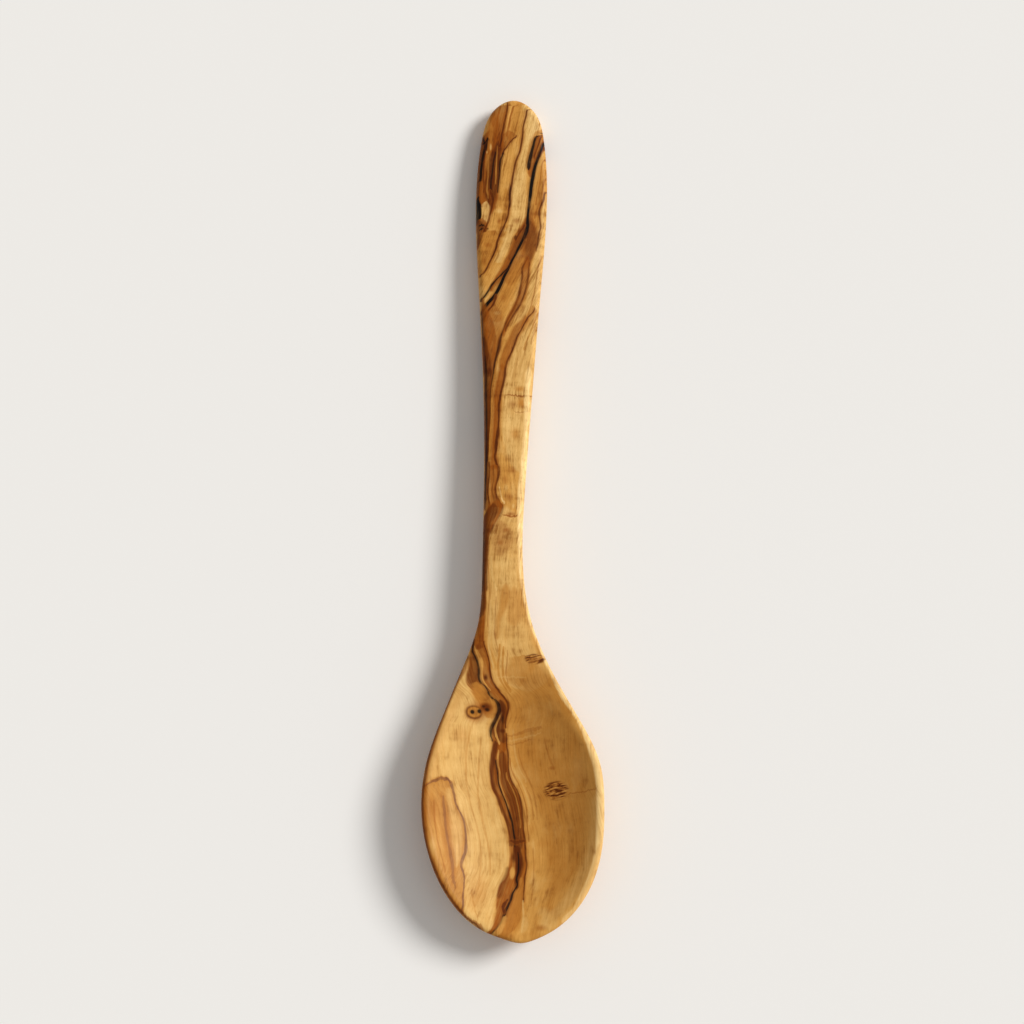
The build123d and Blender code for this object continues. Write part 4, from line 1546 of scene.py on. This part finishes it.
class OliveWood:
    """Oiled, satin olive wood: its coordinates, its colour and a fine grain that can be felt."""

    def __init__(self, mesh, tints):
        self.material = bpy.data.materials.new("olive_wood")
        self.material.use_nodes = True
        self.shop = Shop(self.material.node_tree)
        self.figure = Figure(mesh, tints)
        self.set_grain()
        self.set_surface()

    def set_grain(self):
        """The coordinates of the wood: across the layers and along them, with a little wander."""
        shop = self.shop
        self.place = shop.value("ShaderNodeTexCoord", output=3)
        parts = shop.node("ShaderNodeSeparateXYZ", None, {0: self.place})
        x, y, self.depth = (Value(shop, output) for output in parts.outputs)
        normal = shop.value("ShaderNodeNewGeometry", output=1)
        behind = shop.value("ShaderNodeSeparateXYZ", None, {0: normal}, output=2).spread(*BEHIND)
        wander = self.cloud(WANDER_TURNS)
        back_wander = self.cloud(BACK_TURNS, 1, 0.5)
        self.patches = self.cloud(PATCH_TURNS, 2, 0.55)
        fading = self.cloud(FADING_TURNS).spread(*FADING_SHARE)
        layered = x + (self.depth - LEAN_LEVEL) * LAYER_LEAN + (wander - 0.5) * WANDER
        aside = behind * (back_wander - BACK_BALANCE) * BACK_SHIFT
        self.across = (layered + aside) / FIELD + 0.5
        self.along = y / FIELD + 0.5
        lean = self.read_down(GRAIN_RUN, LEAST_RUN, MOST_RUN) * ((MOST_RUN - LEAST_RUN) * SCALE)
        self.flow = self.across - lean
        self.streaks = self.flow_noise(*STREAKS)
        frayed = self.streaks - 0.5
        across = self.across + frayed * (SIDE_FRAY / FIELD)
        along = self.along + frayed * (FRAY / FIELD)
        spot = shop.value("ShaderNodeCombineXYZ", None, {0: across, 1: self.along})
        self.grain = Grain(shop, across, along, spot, fading, self.streaks.spread(*STREAK_SHARE))

    def cloud(self, turns, detail=2, roughness=0.6):
        """Noise that lies in the wood, with its turns a millimetre."""
        return self.shop.noise(self.shop.scaled(self.place, turns), 1 / MM, detail, roughness)

    def read_down(self, points, low, high):
        """A value given at places down the photograph, read along the wood: from low to high."""
        places = [self.figure.spot(MIDDLE_X, py)[1] for py, _ in points]
        shares = [(value - low) / (high - low) for _, value in points]
        return self.along.along(sorted(zip(places, shares)))

    def flow_noise(self, width, length, detail, roughness):
        """Noise drawn out along the grain: its width across and its length along."""
        parts = {0: self.flow, 1: self.along * (width / length), 2: self.depth}
        run = self.shop.value("ShaderNodeCombineXYZ", None, parts)
        return self.shop.noise(run, FIELD / width, detail, roughness)

    def lay_figure(self):
        """The wood's colour as its marks make it, painted highlight and shade along the edges included."""
        shop, tint, grain = self.shop, self.figure.tint, self.grain
        colour = shop.mix(tint("golden"), tint("amber"), self.patches.spread(*AMBER_PATCHES))
        colour = shop.mix(colour, tint("pale"), self.patches.spread(*PALE_PATCHES))
        coordinates = {
            "Across": grain.across,
            "Along": grain.along,
            "Spot": grain.spot,
            "Fading": grain.fading,
            "Streaks": grain.streaks,
        }
        for name, marks in FIGURE.items():
            lay = functools.partial(self.figure.lay_all, marks)
            colour = shop.group(name, {"Colour": colour, **coordinates}, lay)
        for patch in FLECKS:
            colour = self.figure.lay_flecks(grain, colour, *patch)
        return colour

    def set_surface(self):
        """The colour of the marks, shaded by the fine grain, under a satin oil."""
        shop = self.shop
        colour = self.lay_figure()
        layers = self.flow_noise(*LAYERS)
        fibres = self.flow_noise(*FIBRES)
        pores = self.flow_noise(*PORES)
        mottle = self.cloud(MOTTLE_TURNS)
        rings = (self.flow * (math.tau * FIELD / RING_GAP) + layers * RING_WANDER).math("SINE")
        parts = {0: self.across * RIPPLE_DRAWN_OUT, 1: self.along, 2: self.depth}
        ripple_run = shop.value("ShaderNodeCombineXYZ", None, parts)
        ripples = shop.noise(ripple_run, FIELD / RIPPLE_LENGTH, 2, 0.55) - 0.5
        ripples = ripples * self.read_down(RIPPLES, 0, 1)

        texture = self.read_down(TEXTURE, 0, 1)
        fine = ((self.streaks - 0.5) * STREAK_SHADE + (fibres - 0.5) * FIBRE_SHADE) * texture
        broad = (layers - 0.5) * LAYER_SHADE
        shade = fine + broad + (mottle - 0.5) * MOTTLE_SHADE + ripples * RIPPLE_SHADE
        deeper = shop.scaled(colour, DEEPER)
        lighter = shop.scaled(colour, LIGHTER)
        colour = shop.mix(colour, deeper, shade.spread(*DEEPER_SHARE))
        colour = shop.mix(colour, lighter, shade.spread(*LIGHTER_SHARE))
        darker = shop.scaled(colour, DARKER)
        ring_lines = rings.spread(*RING_SHARE) * self.patches.spread(*RINGED_PATCHES)
        colour = shop.mix(colour, darker, ring_lines * RING_SHADE)
        colour = shop.mix(colour, darker, pores.spread(*PORE_SHARE) * texture)
        self.oil(colour, fibres)

    def oil(self, colour, fibres):
        """Satin oil over a colour, with fibres that can be felt."""
        relief = {"Strength": FIBRE_STRENGTH, "Distance": FIBRE_HEIGHT, "Height": fibres}
        looks = {
            "Base Color": colour,
            "Normal": self.shop.value("ShaderNodeBump", None, relief),
            "Roughness": fibres.spread(*SATIN),
            "Specular IOR Level": SHEEN,
        }
        self.shop.coat(looks)


# The operators


def add_object(name, data):
    piece = bpy.data.objects.new(name, data)
    bpy.context.scene.collection.objects.link(piece)
    return piece


class SPOON_OT_carve(bpy.types.Operator):
    """Carve the spoon from one piece of olive wood and oil it"""

    bl_idname = "spoon.carve"
    bl_label = "Carve the spoon"

    def execute(self, context):
        mesh = carve_mesh(Carving(context.scene.spoon_sizes))
        mesh.materials.append(OliveWood(mesh, context.scene.spoon_tints).material)
        spoon = add_object("carved_spoon", mesh)
        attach(spoon, "root")
        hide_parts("spoon")
        return {"FINISHED"}


TABLE_SIDE = 6.0
TABLE_ROUGHNESS = 0.85
KEY_FROM = Vector((0.74, 0.3, 0.62))
KEY_SOFTNESS = math.radians(22)
WHITE = (1, 1, 1, 1)


def lay_table(table_tint):
    half = TABLE_SIDE / 2
    mesh = bpy.data.meshes.new("table_top")
    corners = [(-half, -half, 0), (half, -half, 0), (half, half, 0), (-half, half, 0)]
    mesh.from_pydata(corners, [], [(0, 1, 2, 3)])
    material = bpy.data.materials.new("pale_table")
    material.use_nodes = True
    looks = {"Base Color": (*table_tint, 1), "Roughness": TABLE_ROUGHNESS, "Specular IOR Level": SHEEN}
    Shop(material.node_tree).coat(looks)
    mesh.materials.append(material)
    add_object("table_top", mesh)


def hang_window_light(strength):
    sun = bpy.data.lights.new("window_light", "SUN")
    sun.energy = strength
    sun.angle = KEY_SOFTNESS
    lamp = add_object("window_light", sun)
    lamp.rotation_euler = KEY_FROM.to_track_quat("Z", "Y").to_euler()


def light_room(scene, strength):
    """Even white light from all round."""
    scene.world = bpy.data.worlds.new("room")
    scene.world.use_nodes = True
    room = scene.world.node_tree.nodes["Background"]
    room.inputs["Color"].default_value = WHITE
    room.inputs["Strength"].default_value = strength


def place_camera(scene):
    """A camera that sees the spoon as the photograph does."""
    viewpoint = Viewpoint()
    lens = bpy.data.cameras.new("photograph")
    lens.sensor_width = SENSOR / MM
    lens.lens = FOCAL_PIXELS / IMAGE_SIZE * SENSOR / MM
    scene.camera = add_object("photograph", lens)
    turn = Matrix((viewpoint.right, viewpoint.up, viewpoint.back)).transposed()
    scene.camera.matrix_world = Matrix.Translation(viewpoint.eye) @ turn.to_4x4()
    scene.view_settings.view_transform = "Standard"


class SPOON_OT_set_table(bpy.types.Operator):
    """Lay the pale table, set the camera where the photograph was taken from and light both"""

    bl_idname = "spoon.set_table"
    bl_label = "Set the table, light and camera"

    def execute(self, context):
        stage = context.scene.spoon_stage
        lay_table(stage.table_tint)
        hang_window_light(stage.key_strength)
        light_room(context.scene, stage.sky_strength)
        place_camera(context.scene)
        return {"FINISHED"}


class SPOON_PT_workshop(bpy.types.Panel):
    """Everything that makes the spoon and its stage"""

    bl_label = "Olive-wood spoon"
    bl_space_type = "VIEW_3D"
    bl_region_type = "UI"
    bl_category = "Spoon"

    def draw(self, context):
        scene = context.scene
        for group in (scene.spoon_sizes, scene.spoon_tints, scene.spoon_stage):
            box = self.layout.box()
            for name in group.__annotations__:
                box.prop(group, name)
        self.layout.operator(SPOON_OT_carve.bl_idname)
        self.layout.operator(SPOON_OT_set_table.bl_idname)


GROUPS = {"spoon_sizes": SpoonSizes, "spoon_tints": WoodTints, "spoon_stage": TableStage}
CLASSES = (*GROUPS.values(), SPOON_OT_carve, SPOON_OT_set_table, SPOON_PT_workshop)


def register():
    for made in CLASSES:
        bpy.utils.register_class(made)
    for name, group in GROUPS.items():
        setattr(bpy.types.Scene, name, PointerProperty(type=group))


def unregister():
    for name in GROUPS:
        delattr(bpy.types.Scene, name)
    for made in reversed(CLASSES):
        bpy.utils.unregister_class(made)


def main():
    register()
    bpy.ops.spoon.carve()
    bpy.ops.spoon.set_table()


if __name__ == "__main__":
    main()
